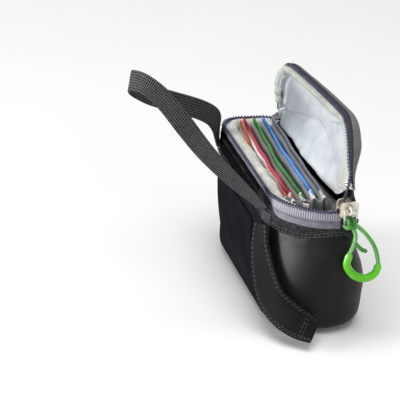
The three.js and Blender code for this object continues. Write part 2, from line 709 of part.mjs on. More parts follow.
function sliderBody() {
  const outerFace = PLATE_OUT + SLIDER_PLATE;
  const innerFace = PLATE_IN - SLIDER_PLATE;
  const lip = SLIDER_FOOT + SLIDER_PLATE;
  const outerPlate = shapeOf([
    [PLATE_OUT, SLIDER_RISE], [PLATE_OUT, lip], [ROW_RADIUS + TAPE_SLOT, lip],
    [ROW_RADIUS + TAPE_SLOT, SLIDER_FOOT], [outerFace, SLIDER_FOOT], [outerFace, SLIDER_RISE],
  ]);
  const innerPlate = shapeOf([
    [PLATE_IN, SLIDER_RISE], [innerFace, SLIDER_RISE], [innerFace, SLIDER_FOOT],
    [ROW_RADIUS - TAPE_SLOT - SAG, SLIDER_FOOT], [ROW_RADIUS - TAPE_SLOT - SAG, lip], [PLATE_IN, lip],
  ]);
  const plates = manifold(alongY(outerPlate, SLIDER_LENGTH)).add(manifold(alongY(innerPlate, SLIDER_LENGTH)));
  // Both plates narrow towards the closed side of the zip
  const nose = SLIDER_NOSE / 2;
  const half = SLIDER_LENGTH / 2;
  const middle = (SLIDER_RISE + SLIDER_FOOT) / 2;
  const shield = shapeOf([
    [-half, SLIDER_FOOT + 1], [-half + 1, SLIDER_FOOT], [half - 2, SLIDER_FOOT], [half, middle - nose],
    [half, middle + nose], [half - 2, SLIDER_RISE], [-half + 1, SLIDER_RISE], [-half, SLIDER_RISE - 1],
  ]);
  const shieldDepth = 2 * (outerFace - innerFace);
  const cutter = new THREE.ExtrudeGeometry(shield, { depth: shieldDepth, bevelEnabled: false });
  cutter.rotateX(Math.PI / 2).rotateZ(Math.PI / 2).translate(innerFace - shieldDepth / 4, 0, 0);
  const bridge = new THREE.BoxGeometry(outerFace - innerFace - 2 * FIT_GAP, BRIDGE_LENGTH, BRIDGE_HEIGHT);
  bridge.translate((outerFace + innerFace) / 2, -half + BRIDGE_LENGTH / 2 + 0.4, 0);
  const lug = new THREE.Shape();
  lug.moveTo(outerFace - FIT_GAP, -LUG_RADIUS);
  lug.lineTo(LUG_CENTRE, -LUG_RADIUS);
  lug.absarc(LUG_CENTRE, 0, LUG_RADIUS, -Math.PI / 2, Math.PI / 2, false);
  lug.lineTo(outerFace - FIT_GAP, LUG_RADIUS);
  lug.holes.push(new THREE.Path().absarc(LUG_CENTRE, 0, BAIL_WIRE / 2 + BAIL_PLAY, 0, 2 * Math.PI, true));
  const shaped = plates.intersect(manifold(cutter));
  return fromManifold(shaped.add(manifold(bridge)).add(manifold(alongY(lug, LUG_LENGTH))));
}

add(sliderTurn, 'zip_slider', sliderBody(), COLOURS.nickel, 0.3, 1);

// Bail: a rectangular wire loop through the lug, hanging down
const pull = new THREE.Group();
pull.position.set(LUG_CENTRE, 0, 0);
sliderTurn.add(pull);

function roundedLoop(width, length, radius, stepsPerCorner) {
  const corners = [
    [width / 2 - radius, -radius, 0], [-width / 2 + radius, -radius, 90],
    [-width / 2 + radius, -length + radius, 180], [width / 2 - radius, -length + radius, 270],
  ];
  return corners.flatMap(([y, z, start]) => Array.from({ length: stepsPerCorner + 1 }, (_, i) => {
    const angle = rad(start + (90 * i) / stepsPerCorner);
    return { y: y + radius * Math.cos(angle), z: z + radius * Math.sin(angle), angle };
  }));
}

const bailFrames = roundedLoop(BAIL_WIDTH, BAIL_LENGTH, 1.2, 3).map(({ y, z, angle }) => ({
  at: new THREE.Vector3(0, y, z),
  across: new THREE.Vector3(1, 0, 0),
  out: new THREE.Vector3(0, Math.cos(angle), Math.sin(angle)),
}));
const bail = sweep(bailFrames, () => polygonSection(BAIL_WIRE / 2, 6), true);
add(pull, 'slider_bail', bail, COLOURS.nickel, 0.3, 1);

// Cord looped over the foot of the bail, its two ends held in a moulded grip
const GRIP_PATH = [
  [1, 1, -22.5], [0.9, 0.4, -27], [1.9, 4.6, -32.6],
  [3.2, 10, -33.9], [4.2, 13.8, -31.3], [4.6, 14.7, -27.8],
];
const CORD_BEND = BAIL_WIRE / 2 + CORD_DIAMETER / 2 + BAIL_PLAY;
const CORD_SHOULDER = -BAIL_LENGTH + 0.7 * CORD_BEND;
const CORD_NECK = -BAIL_LENGTH - 0.6;
const CORD_NEAR_END = GRIP_PATH[0][2] + 2 * FIT_GAP;
const CORD_FAR_END = GRIP_PATH[GRIP_PATH.length - 1][2] + 2 * FIT_GAP;
const CORD_PATH = [
  [1.1, 1.2, CORD_NEAR_END], [1.5, 2.6, -16.5], [1.9, 2.7, -12], [CORD_BEND, 0.5, CORD_NECK],
  [0.72 * CORD_BEND, 0.1, CORD_SHOULDER], [0, 0, -BAIL_LENGTH + CORD_BEND],
  [-0.72 * CORD_BEND, 0.4, CORD_SHOULDER], [-CORD_BEND, 1, CORD_NECK],
  [-0.8, 4.2, -8.4], [0.8, 9, -12.8], [3, 13.2, -19.4], [4.6, 14.7, CORD_FAR_END],
];

function tube(points, diameter, steps, sides) {
  const path = new THREE.CatmullRomCurve3(points.map(([x, y, z]) => new THREE.Vector3(x, y, z)));
  const ring = polygonSection(diameter / 2, sides).map(([x, y]) => new THREE.Vector2(x, y));
  return new THREE.ExtrudeGeometry(new THREE.Shape(ring), { steps, extrudePath: path, bevelEnabled: false });
}

add(pull, 'pull_cord', tube(CORD_PATH, CORD_DIAMETER, 36, 8), COLOURS.cord);
add(pull, 'pull_grip', tube(GRIP_PATH, GRIP_DIAMETER, 20, 10), COLOURS.grip, 0.5);

// Hanging strap: webbing sewn to both ends of the back, looped up and away behind the case
const STRAP_FOOT = RIM_TOP + 2 * FIT_GAP;
const strapOff = TAPE_OUTER + FIT_GAP + STRAP_THICKNESS;
const strapNear = wall(nearArcAt(98), strapOff, STRAP_FOOT);
const strapFar = wall(farBackAt(75), strapOff, STRAP_FOOT);

// Points on the strap, as shares of half the width, of the reach and of the rise
const STRAP_POINTS = [
  [-0.43, 0.44, 0.42], [-0.3, 0.81, 0.88], [-0.21, 0.94, 0.97], [-0.05, 1, 0.94],
  [0.125, 0.94, 0.83], [0.27, 0.76, 0.68], [0.625, 0.13, 0.315],
];
const STRAP_FACING = [
  [0, -0.12, 1, 0], [0.12, -0.6, 0.8, 0], [0.3, -0.95, 0.3, 0], [0.45, -0.7, 0.7, 0.2],
  [0.5, -0.1, 1, 0.3], [0.56, 0.6, 0.8, 0.2], [0.68, 0.9, 0.4, 0], [0.9, 0.75, 0.65, 0], [1, 0.26, 0.96, 0],
];

function blendFacing(table, t) {
  const next = Math.max(1, table.findIndex(([share]) => share >= t));
  const [t0, ...from] = table[next - 1];
  const [t1, ...to] = table[next];
  return new THREE.Vector3(...from).lerp(new THREE.Vector3(...to), (t - t0) / (t1 - t0)).normalize();
}

const strapCurve = new THREE.CatmullRomCurve3([
  strapNear,
  ...STRAP_POINTS.map(([along, reach, rise]) => new THREE.Vector3(
    along * FAR_X,
    strapNear.y + reach * STRAP_REACH,
    STRAP_FOOT + rise * STRAP_RISE,
  )),
  strapFar,
]);
const strapFrames = framesAlong(strapCurve, 34, (t) => blendFacing(STRAP_FACING, t));
const strapSection = () => ribbonSection(STRAP_WIDTH, -STRAP_THICKNESS / 2, STRAP_THICKNESS / 2);
add(group, 'hanging_strap', sweep(strapFrames, strapSection), COLOURS.webbing);

const anchorLow = RIM_BOTTOM + FIT_GAP;
const anchorFace = RIM_OUTER + FIT_GAP;
const anchorMarks = {
  strap_anchor_near: between(nearArcAt(91), nearArcAt(109)),
  strap_anchor_far: between(farBackAt(52), farBackAt(90)),
};
for (const [name, marks] of Object.entries(anchorMarks)) {
  const anchor = patch(marks, anchorFace + PATCH_THICKNESS, anchorFace, [anchorLow, RIM_TOP]);
  add(group, name, anchor, COLOURS.webbing);
}

// Rear flap: a strip sewn on below the near strap end, down the back and out round the near corner.
// Its places are measured in from the near end, out from the back and down from the top of the nylon.
const FLAP_POINTS = [
  { at: [22, 2.1, 0.2], across: [-1, 0, 0] },
  { at: [18.5, 3, 9.4], across: [-0.95, -0.2, 0.2] },
  { at: [11.5, 2, 21.4], across: [-0.82, -0.5, 0.3] },
  { at: [4.5, -1, 31.4], across: [-0.45, -0.65, 0.6] },
  { at: [-3.5, -8.5, 37.8], across: [0.25, -0.78, 0.57] },
  { at: [-8.5, -18.5, 42.2], across: [0.82, -0.3, 0.35] },
];
const flapPlace = ([inward, outward, down]) => (
  new THREE.Vector3(inward - FAR_X, BACK_Y + outward, SHELL_TOP - down)
);

const FLAP_STEPS = 50;

function flapFrames(from, to) {
  const curve = new THREE.CatmullRomCurve3(FLAP_POINTS.map(({ at }) => flapPlace(at)));
  const sides = new THREE.CatmullRomCurve3(FLAP_POINTS.map(({ across }) => new THREE.Vector3(...across)));
  return Array.from({ length: to - from + 1 }, (_, i) => {
    const t = (from + i) / FLAP_STEPS;
    const heading = curve.getTangent(t);
    const across = sides.getPoint(t);
    across.addScaledVector(heading, -across.dot(heading)).normalize();
    return { at: curve.getPoint(t), across, out: heading.clone().cross(across) };
  });
}

add(group, 'rear_flap', sweep(
  flapFrames(0, FLAP_STEPS),
  () => ribbonSection(FLAP_WIDTH, -FLAP_THICKNESS / 2, FLAP_THICKNESS / 2),
), COLOURS.flap);

// Hook tape on the inner face of the flap's free end, and a loop patch on the back that takes it
const HOOK_TAPE_START = 37;
const HOOK_TAPE_END = 48;
const hookFace = -FLAP_THICKNESS / 2 - 1.5 * FIT_GAP;
add(group, 'flap_hook_tape', sweep(
  flapFrames(HOOK_TAPE_START, HOOK_TAPE_END),
  () => ribbonSection(HOOK_TAPE_WIDTH, hookFace - HOOK_TAPE_THICKNESS, hookFace),
), COLOURS.hook);
const LOOP_PATCH_LOW = 16;
const LOOP_PATCH_HIGH = 42;
const loopHeights = [LOOP_PATCH_LOW, SIDE_LEVELS[0], SIDE_LEVELS[1], LOOP_PATCH_HIGH];
const loopMarks = between({ run: RUN.back, t: 0.3 }, { run: RUN.back, t: 0.85 });
add(group, 'loop_patch', patch(loopMarks, FIT_GAP + PATCH_THICKNESS, FIT_GAP, loopHeights), COLOURS.hook);

export default group;
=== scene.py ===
"""Looks of a soft zipped case for round lens filters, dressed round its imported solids.

Shapes are worked out in millimetres, in the frame of the solids, and stored in metres.
The near end of the case, where the zip slider is parked, faces -X; the back faces +Y.
"""
import math

import bpy
import numpy as np
from mathutils import Matrix


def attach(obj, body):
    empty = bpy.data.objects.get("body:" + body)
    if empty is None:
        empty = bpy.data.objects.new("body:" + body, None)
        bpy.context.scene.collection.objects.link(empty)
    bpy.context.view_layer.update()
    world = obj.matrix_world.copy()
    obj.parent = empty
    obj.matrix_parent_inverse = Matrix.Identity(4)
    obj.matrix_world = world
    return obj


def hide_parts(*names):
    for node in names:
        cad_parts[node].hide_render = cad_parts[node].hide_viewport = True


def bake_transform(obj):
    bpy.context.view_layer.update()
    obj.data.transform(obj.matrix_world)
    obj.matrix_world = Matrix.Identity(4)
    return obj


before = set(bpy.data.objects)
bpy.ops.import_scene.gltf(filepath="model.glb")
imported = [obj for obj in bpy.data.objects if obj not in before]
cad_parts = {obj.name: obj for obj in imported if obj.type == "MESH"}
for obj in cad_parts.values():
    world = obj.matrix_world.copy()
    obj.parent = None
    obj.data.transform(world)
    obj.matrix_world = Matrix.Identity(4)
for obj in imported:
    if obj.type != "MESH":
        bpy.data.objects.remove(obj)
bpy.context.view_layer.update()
MM = 0.001
UP = np.array([0, 0, 1])

# Camera, fitted to the photograph
IMAGE_WIDTH_PX = 400
FOCAL_PX = 1950.36
SENSOR_WIDTH = 36
CAMERA_AT = (-0.80513, 0.29071, 0.43337)
CAMERA_RIGHT = (-0.25509, -0.96402, 0.07474)
CAMERA_UP = (0.42447, -0.04220, 0.90445)
CAMERA_BACK = (-0.86876, 0.26244, 0.41997)


def add_object(name, data):
    obj = bpy.data.objects.new(name, data)
    bpy.context.scene.collection.objects.link(obj)
    return obj


def place_object(obj, at, right, up, back):
    """Puts a camera or a lamp in its place, turned to its own three directions."""
    turn = Matrix(np.column_stack([right, up, back]).tolist()).to_4x4()
    obj.matrix_world = Matrix.Translation(at) @ turn


def make_camera():
    data = bpy.data.cameras.new("camera")
    data.sensor_width = SENSOR_WIDTH
    data.lens = SENSOR_WIDTH * FOCAL_PX / IMAGE_WIDTH_PX
    data.clip_start = 0.01
    data.clip_end = 20
    camera = add_object("camera", data)
    fitted = np.column_stack([CAMERA_RIGHT, CAMERA_UP, CAMERA_BACK])
    square, _ = np.linalg.qr(fitted)
    square = square * np.sign(np.sum(square * fitted, axis=0))
    place_object(camera, CAMERA_AT, *square.T)
    bpy.context.scene.camera = camera


make_camera()

# Sizes shared with the solids
CASE_WIDTH = 112
BASE_DEPTH = 50
BASE_RADIUS = 22
NEAR_RADIUS = 27
NEAR_SWEEP = 192
NEAR_FRONT_RADIUS = 6
MOUTH_DEPTH_FAR = 30
FAR_BACK_RADIUS = 12
FAR_FRONT_RADIUS = 8
DISC_PLAY = 0.005
ZIP_HEIGHT = 64
WALL_BULGE = 1.4
BOTTOM_EDGE = 8
WALL_FOOT = 12.2
SHELL_TOP = 47.4
RIM_BOTTOM = 47.7
RIM_TOP = 53.7
TAPE_BOTTOM = 54.0
TAPE_TOP = 60.8
COIL_PITCH = 1.6
COIL_CENTRE = -0.2
COIL_REACH = 0.65
COIL_WIRE = 0.32
SLIDER_PARKED = 188
BODY_COIL_END = SLIDER_PARKED - 5.5
LID_COIL_END = SLIDER_PARKED - 13
LUG_RADIUS = 30.5
BAIL_LENGTH = 6.3
CORD_DIAMETER = 2
GRIP_DIAMETER = 3.8
LID_OPEN = 94.7
DIVIDER_BOTTOM = 8
DIVIDER_TOP = 67.5
DIVIDER_NEAR_X = -40
DIVIDER_FAR_X = 43
STRAP_FOOT = 54.3
STRAP_RISE = 56.5
STRAP_REACH = 59
STRAP_WIDTH = 10
FLAP_WIDTH = 15

BACK_Y = BASE_DEPTH / 2
NEAR_CENTRE = np.array([-CASE_WIDTH / 2 + NEAR_RADIUS, BACK_Y - NEAR_RADIUS])
NEAR_ARC, NEAR_FRONT, FRONT, FAR_FRONT, FAR_END, FAR_BACK, BACK = 0, 2, 3, 4, 5, 6, 7


# Small helpers for numbers

def smoothstep(x, low, high):
    t = np.clip((np.asarray(x, float) - low) / (high - low), 0, 1)
    return t * t * (3 - 2 * t)


def unit(v):
    return v / np.maximum(np.linalg.norm(v, axis=-1, keepdims=True), 1e-9)


RIPPLE_WAVES = 7


def ripples(a, b, seed):
    """Smooth, repeatable waves of about one unit's wavelength, between about -1 and 1."""
    draw = np.random.default_rng(seed)
    total = 0
    for _ in range(RIPPLE_WAVES):
        angle = draw.uniform(0, 2 * math.pi)
        size = draw.uniform(0.6, 1.6)
        phase = draw.uniform(0, 2 * math.pi)
        total = total + np.sin(2 * math.pi * size * (a * math.cos(angle) + b * math.sin(angle)) + phase)
    return total / math.sqrt(2 * RIPPLE_WAVES)


FINE_STEPS = 24


def smooth_path(points, count):
    """Points spread evenly along a smooth curve through the given ones."""
    p = np.asarray(points, float)
    p = np.vstack([2 * p[0] - p[1], p, 2 * p[-1] - p[-2]])
    knots = np.concatenate([[0], np.cumsum(np.sqrt(np.linalg.norm(np.diff(p, axis=0), axis=1)))])
    fine = []
    for i in range(1, len(p) - 2):
        t0, t1, t2, t3 = knots[i - 1:i + 3]
        t = np.linspace(t1, t2, FINE_STEPS, endpoint=False)[:, None]
        a1 = (t1 - t) / (t1 - t0) * p[i - 1] + (t - t0) / (t1 - t0) * p[i]
        a2 = (t2 - t) / (t2 - t1) * p[i] + (t - t1) / (t2 - t1) * p[i + 1]
        a3 = (t3 - t) / (t3 - t2) * p[i + 1] + (t - t2) / (t3 - t2) * p[i + 2]
        b1 = (t2 - t) / (t2 - t0) * a1 + (t - t0) / (t2 - t0) * a2
        b2 = (t3 - t) / (t3 - t1) * a2 + (t - t1) / (t3 - t1) * a3
        fine.append((t2 - t) / (t2 - t1) * b1 + (t - t1) / (t2 - t1) * b2)
    fine = np.vstack([*fine, p[-2:-1]])
    return evenly(fine, count)


def lengths_along(points):
    return np.concatenate([[0], np.cumsum(np.linalg.norm(np.diff(points, axis=0), axis=1))])


def read_between(at, known, values):
    """Rows of values, read at places between the known ones."""
    return np.column_stack([np.interp(at, known, column) for column in values.T])


def evenly(points, count):
    run = lengths_along(points)
    return read_between(np.linspace(0, run[-1], count), run, points)


# Outlines seen from above: a belt round four discs, as in the solids

def tangent_angle(here, there):
    way = there[:2] - here[:2]
    return math.atan2(way[1], way[0]) - math.acos((here[2] - there[2]) / np.linalg.norm(way))


def belt(discs):
    runs = []
    for i, here in enumerate(discs):
        after = discs[(i + 1) % len(discs)]
        start = tangent_angle(discs[i - 1], here)
        turn = (tangent_angle(here, after) - start) % (2 * math.pi)
        normal = np.array([math.cos(start + turn), math.sin(start + turn)])
        runs.append(("arc", here[:2], here[2], start, turn))
        runs.append(("line", here[:2] + here[2] * normal, after[:2] + after[2] * normal, normal))
    return runs


def on_belt(runs, marks):
    """Points and outward normals at marks, each a run's number plus the share of that run."""
    points, normals = [], []
    for mark in np.atleast_1d(marks):
        run = runs[int(mark) % len(runs)]
        t = mark - int(mark)
        if run[0] == "arc":
            angle = run[3] + run[4] * t
            normal = np.array([math.cos(angle), math.sin(angle)])
            points.append(run[1] + run[2] * normal)
        else:
            normal = run[3]
            points.append(run[1] * (1 - t) + run[2] * t)
        normals.append(normal)
    return np.array(points), np.array(normals)


def near_front_disc():
    sweep = math.radians(NEAR_SWEEP)
    way = NEAR_RADIUS - NEAR_FRONT_RADIUS + DISC_PLAY
    return [*(NEAR_CENTRE + way * np.array([math.cos(sweep), math.sin(sweep)])), NEAR_FRONT_RADIUS]


FAR_X = CASE_WIDTH / 2
FRONT_Y = BACK_Y - MOUTH_DEPTH_FAR
MOUTH = belt(np.array([
    [*NEAR_CENTRE, NEAR_RADIUS],
    near_front_disc(),
    [FAR_X - FAR_FRONT_RADIUS, FRONT_Y + FAR_FRONT_RADIUS, FAR_FRONT_RADIUS],
    [FAR_X - FAR_BACK_RADIUS, BACK_Y - FAR_BACK_RADIUS, FAR_BACK_RADIUS],
]))
BASE_X = FAR_X - BASE_RADIUS
BASE_Y = BACK_Y - BASE_RADIUS
BASE = belt(np.array([
    [-BASE_X, BASE_Y, BASE_RADIUS],
    [-BASE_X, -BASE_Y, BASE_RADIUS],
    [BASE_X, -BASE_Y, BASE_RADIUS],
    [BASE_X, BASE_Y, BASE_RADIUS],
]))


def run_length(run):
    return run[2] * run[4] if run[0] == "arc" else float(np.linalg.norm(run[2] - run[1]))


RUN_STARTS = np.concatenate([[0], np.cumsum([run_length(run) for run in MOUTH])])
ROUND = RUN_STARTS[-1]


# The share of a run that counts as its end, as the next run starts at one
RUN_END = 0.999999


def way_of(mark):
    """Millimetres along the mouth from the first run's start to a mark."""
    run = int(mark) % len(MOUTH)
    return RUN_STARTS[run] + (mark - int(mark)) * run_length(MOUTH[run])


def marks_at(ways):
    ways = np.mod(ways, ROUND)
    runs = np.clip(np.searchsorted(RUN_STARTS, ways, side="right") - 1, 0, len(MOUTH) - 1)
    spans = np.diff(RUN_STARTS)[runs]
    return runs + np.clip((ways - RUN_STARTS[runs]) / spans, 0, RUN_END)


def arc_mark(run, degrees):
    start, turn = MOUTH[run][3:5]
    return run + ((math.radians(degrees) - start) % (2 * math.pi)) / turn


def span(mark_from, mark_to, step):
    """Places along the mouth, anticlockwise, as millimetres and as marks."""
    begin = way_of(mark_from)
    length = (way_of(mark_to) - begin) % ROUND
    ways = begin + np.linspace(0, length, max(2, round(length / step) + 1))
    return ways, marks_at(ways)


def all_round(step):
    ways = np.linspace(0, ROUND, round(ROUND / step), endpoint=False)
    return ways, marks_at(ways)


def wall(marks, offset, z):
    """Points on the side wall: one row for each height, one column for each mark."""
    z = np.atleast_1d(np.asarray(z, float))
    low, low_normal = on_belt(BASE, marks)
    high, high_normal = on_belt(MOUTH, marks)
    t = smoothstep(z, WALL_FOOT, SHELL_TOP)[:, None, None]
    rise = np.clip((z - WALL_FOOT) / (SHELL_TOP - WALL_FOOT), 0, 1)
    normal = unit(low_normal[None] * (1 - t) + high_normal[None] * t)
    reach = np.broadcast_to(np.asarray(offset, float), (len(z), len(marks)))
    reach = reach + WALL_BULGE * np.sin(math.pi * rise)[:, None]
    flat = low[None] * (1 - t) + high[None] * t + normal * reach[:, :, None]
    return np.dstack([flat, np.broadcast_to(z[:, None], reach.shape)])


def wall_normals(marks, z):
    step = 0.05
    return unit(wall(marks, step, z) - wall(marks, 0, z))


def by_mouth(marks, offset, z):
    """Points beside the mouth's outline, at an offset outwards and at a height."""
    flat, normal = on_belt(MOUTH, marks)
    offsets = np.broadcast_to(offset, len(flat))
    return np.column_stack([flat + normal * offsets[:, None], np.broadcast_to(z, len(flat))])


# Meshes

def make_object(name, vertices, faces, uvs=None):
    """A smooth-shaded mesh object from points in millimetres; uvs is one pair for each corner."""
    mesh = bpy.data.meshes.new(name)
    mesh.from_pydata((np.asarray(vertices, float) * MM).tolist(), [], [list(map(int, f)) for f in faces])
    if uvs is not None:
        layer = mesh.uv_layers.new(name="UVMap")
        layer.data.foreach_set("uv", np.asarray(uvs, np.float32).ravel())
    mesh.polygons.foreach_set("use_smooth", np.ones(len(mesh.polygons), bool))
    return add_object(name, mesh)


def grid_faces(rows, columns, closed=False):
    r, c = np.meshgrid(np.arange(rows - 1), np.arange(columns if closed else columns - 1), indexing="ij")
    r, c = r.ravel(), c.ravel()
    d = (c + 1) % columns
    quads = np.column_stack([r * columns + c, r * columns + d, (r + 1) * columns + d, (r + 1) * columns + c])
    corners = np.stack([np.stack([r, c], 1), np.stack([r, c + 1], 1), np.stack([r + 1, c + 1], 1),
                        np.stack([r + 1, c], 1)], 1)
    return quads, corners


def ring_fill(first, count):
    """Faces that close a ring of points, laid across it from side to side."""
    faces = []
    for i in range((count - 1) // 2):
        corners = [i, i + 1, count - 2 - i, count - 1 - i]
        faces.append([first + k for k in dict.fromkeys(corners)])
    return faces


def sheet(name, points, closed=False, across=None, along=None, unfolded=None, cap=None):
    """A sheet from rows and columns of points.

    Its texture runs in millimetres, along the columns and up the rows, unless unfolded gives other places,
    one pair for each point. Cap closes the first or the last ring of points of a sheet that is unfolded.
    """
    rows, columns = points.shape[:2]
    quads, corners = grid_faces(rows, columns, closed)
    if unfolded is not None:
        places = np.asarray(unfolded, float).reshape(-1, 2)
        faces = quads.tolist()
        if cap == "first":
            faces += [face[::-1] for face in ring_fill(0, columns)]
        if cap == "last":
            faces += ring_fill((rows - 1) * columns, columns)
        return make_object(name, points.reshape(-1, 3), faces, np.vstack([places[f] for f in faces]))
    if along is None:
        middle = points[rows // 2]
        middle = np.vstack([middle, middle[:1]]) if closed else middle
        along = lengths_along(middle)
    if across is None:
        across = lengths_along(points[:, columns // 2])
    uvs = np.stack([np.asarray(along)[corners[..., 1]], np.asarray(across)[corners[..., 0]]], -1)
    return make_object(name, points.reshape(-1, 3), quads, uvs)


def ring_points(centres, radii, side, other, sides):
    """A ring of points round each centre, in the plane of its two directions."""
    angles = 2 * math.pi * np.arange(sides) / sides
    around = np.cos(angles)[:, None] * side[:, None] + np.sin(angles)[:, None] * other[:, None]
    return centres[:, None] + radii[:, None, None] * around


def ring_faces(count, sides, us, vs, closed=False, first=0):
    """Faces round a row of rings, with their texture places; a row that isn't closed gets flat ends.

    us are the places along the row and vs those round a ring, up to the point where it comes round again.
    """
    faces, uvs = [], []
    for i in range(count if closed else count - 1):
        here = first + i * sides
        after = first + (i + 1) % count * sides
        for k in range(sides):
            m = (k + 1) % sides
            faces.append([here + k, here + m, after + m, after + k])
            uvs += [(us[i], vs[k]), (us[i], vs[k + 1]), (us[i + 1], vs[k + 1]), (us[i + 1], vs[k])]
    if not closed:
        start = [first + k for k in range(sides)]
        end = [first + (count - 1) * sides + k for k in range(sides)]
        faces += [start[::-1], end]
        uvs += [(0, 0)] * (2 * sides)
    return faces, uvs


END_ANGLES = (0.15, 0.6, 1.05)


def tube(name, points, radius, sides, closed=False, rounded=True):
    """A tube along points, with round ends; radius is one number or one for each point."""
    p = np.asarray(points, float)
    radii = np.broadcast_to(np.asarray(radius, float), len(p)).copy()
    if closed:
        heading = unit(np.roll(p, -1, 0) - np.roll(p, 1, 0))
    else:
        heading = unit(np.gradient(p, axis=0))
        if rounded:
            ends = [math.sin(a) for a in END_ANGLES]
            back = [math.cos(a) for a in END_ANGLES]
            first = [p[0] - heading[0] * radii[0] * b for b in back]
            last = [p[-1] + heading[-1] * radii[-1] * b for b in back[::-1]]
            radii = np.concatenate([[radii[0] * e for e in ends], radii, [radii[-1] * e for e in ends[::-1]]])
            heading = np.vstack([heading[:1]] * len(ends) + [heading] + [heading[-1:]] * len(ends))
            p = np.vstack([first, p, last])
    side = np.zeros_like(p)
    start = np.cross(heading[0], UP)
    if np.linalg.norm(start) < 1e-3:
        start = np.cross(heading[0], (1, 0, 0))
    side[0] = unit(start)
    for i in range(1, len(p)):
        carried = side[i - 1] - heading[i] * np.dot(side[i - 1], heading[i])
        side[i] = unit(carried)
    rings = ring_points(p, radii, side, np.cross(heading, side), sides)
    run = lengths_along(np.vstack([p, p[:1]]) if closed else p)
    faces, uvs = ring_faces(len(p), sides, run, np.arange(sides + 1) / sides, closed)
    return make_object(name, rings.reshape(-1, 3), faces, uvs)


def join_as(name, pieces):
    """Several mesh objects as one."""
    vertices, faces, uvs = [], [], []
    for piece in pieces:
        mesh = piece.data
        base = len(vertices)
        vertices += [v.co / MM for v in mesh.vertices]
        layer = mesh.uv_layers[0].data
        for polygon in mesh.polygons:
            faces.append([base + v for v in polygon.vertices])
            uvs += [tuple(layer[i].uv) for i in polygon.loop_indices]
        bpy.data.objects.remove(piece)
    return make_object(name, [tuple(v) for v in vertices], faces, uvs)


# A stitch: places along it, heights and thickness there as shares of the thread's radius
STITCH_PLACES = np.array([0.0, 0.12, 0.5, 0.88, 1.0])
STITCH_RISE = np.array([-0.9, 0.35, 0.75, 0.35, -0.9])
STITCH_GIRTH = np.array([0.5, 0.95, 1.0, 0.95, 0.5])
STITCH_SIDES = 5
STITCH_LIFT = 0.1


def stitch_rows(name, rows, length, gap, radius):
    """Thread stitches along rows of points, each row with its outward normals."""
    vertices, faces, uvs = [], [], []
    for points, normals in rows:
        run = lengths_along(points)
        for start in np.arange(gap / 2, run[-1] - length, length + gap):
            at = start + STITCH_PLACES * length
            line = read_between(at, run, points)
            normal = unit(read_between(at, run, normals))
            across = np.cross(unit(np.gradient(line, axis=0)), normal)
            line = line + normal * (STITCH_RISE * radius + STITCH_LIFT)[:, None]
            rings = ring_points(line, STITCH_GIRTH * radius, across, normal, STITCH_SIDES)
            us, vs = range(len(at)), range(STITCH_SIDES + 1)
            more_faces, more_uvs = ring_faces(len(at), STITCH_SIDES, us, vs, first=len(vertices))
            vertices += list(rings.reshape(-1, 3))
            faces += more_faces
            uvs += more_uvs
    return make_object(name, vertices, faces, uvs)


def thicken(obj, millimetres, offset=-1.0):
    modifier = obj.modifiers.new("thickness", "SOLIDIFY")
    modifier.thickness = millimetres * MM
    modifier.offset = offset
    modifier.use_even_offset = False


def soften(obj):
    modifier = obj.modifiers.new("smooth", "SUBSURF")
    modifier.levels = 1
    modifier.render_levels = 1


# Cloth is settled ten times enlarged, where the solver is steady
SETTLE_SCALE = 10
SETTLE_FRAMES = 16


def settle(points, faces, held, pressure, slack, reach):
    """Lets a sheet swell under pressure with some points held, and returns where its points end up."""
    scene = bpy.context.scene
    flat = points.reshape(-1, 3)
    mesh = bpy.data.meshes.new("settling")
    mesh.from_pydata((flat * MM * SETTLE_SCALE).tolist(), [], faces.tolist())
    obj = add_object("settling", mesh)
    group = obj.vertex_groups.new(name="held")
    group.add([int(i) for i in np.flatnonzero(held.ravel())], 1.0, "REPLACE")
    cloth = obj.modifiers.new("settle", "CLOTH")
    settings = cloth.settings
    settings.quality = 6
    settings.mass = 0.15
    settings.tension_stiffness = 12
    settings.compression_stiffness = 12
    settings.shear_stiffness = 4
    settings.bending_stiffness = 0.4
    settings.vertex_group_mass = "held"
    settings.shrink_min = -slack
    settings.use_pressure = True
    settings.uniform_pressure_force = pressure
    settings.effector_weights.gravity = 0
    cloth.point_cache.frame_start = 1
    cloth.point_cache.frame_end = SETTLE_FRAMES
    for f in range(1, SETTLE_FRAMES + 1):
        scene.frame_set(f)
    depsgraph = bpy.context.evaluated_depsgraph_get()
    done = obj.evaluated_get(depsgraph).to_mesh()
    moved = np.zeros(len(done.vertices) * 3, np.float32)
    done.vertices.foreach_get("co", moved)
    moved = moved.reshape(-1, 3).astype(float) / (MM * SETTLE_SCALE)
    bpy.data.objects.remove(obj)
    bpy.data.meshes.remove(mesh)
    scene.frame_set(1)
    shift = moved - flat
    far = np.linalg.norm(shift, axis=1, keepdims=True)
    shift = shift * np.minimum(1, reach / np.maximum(far, 1e-9))
    return (flat + shift).reshape(points.shape)


# Materials

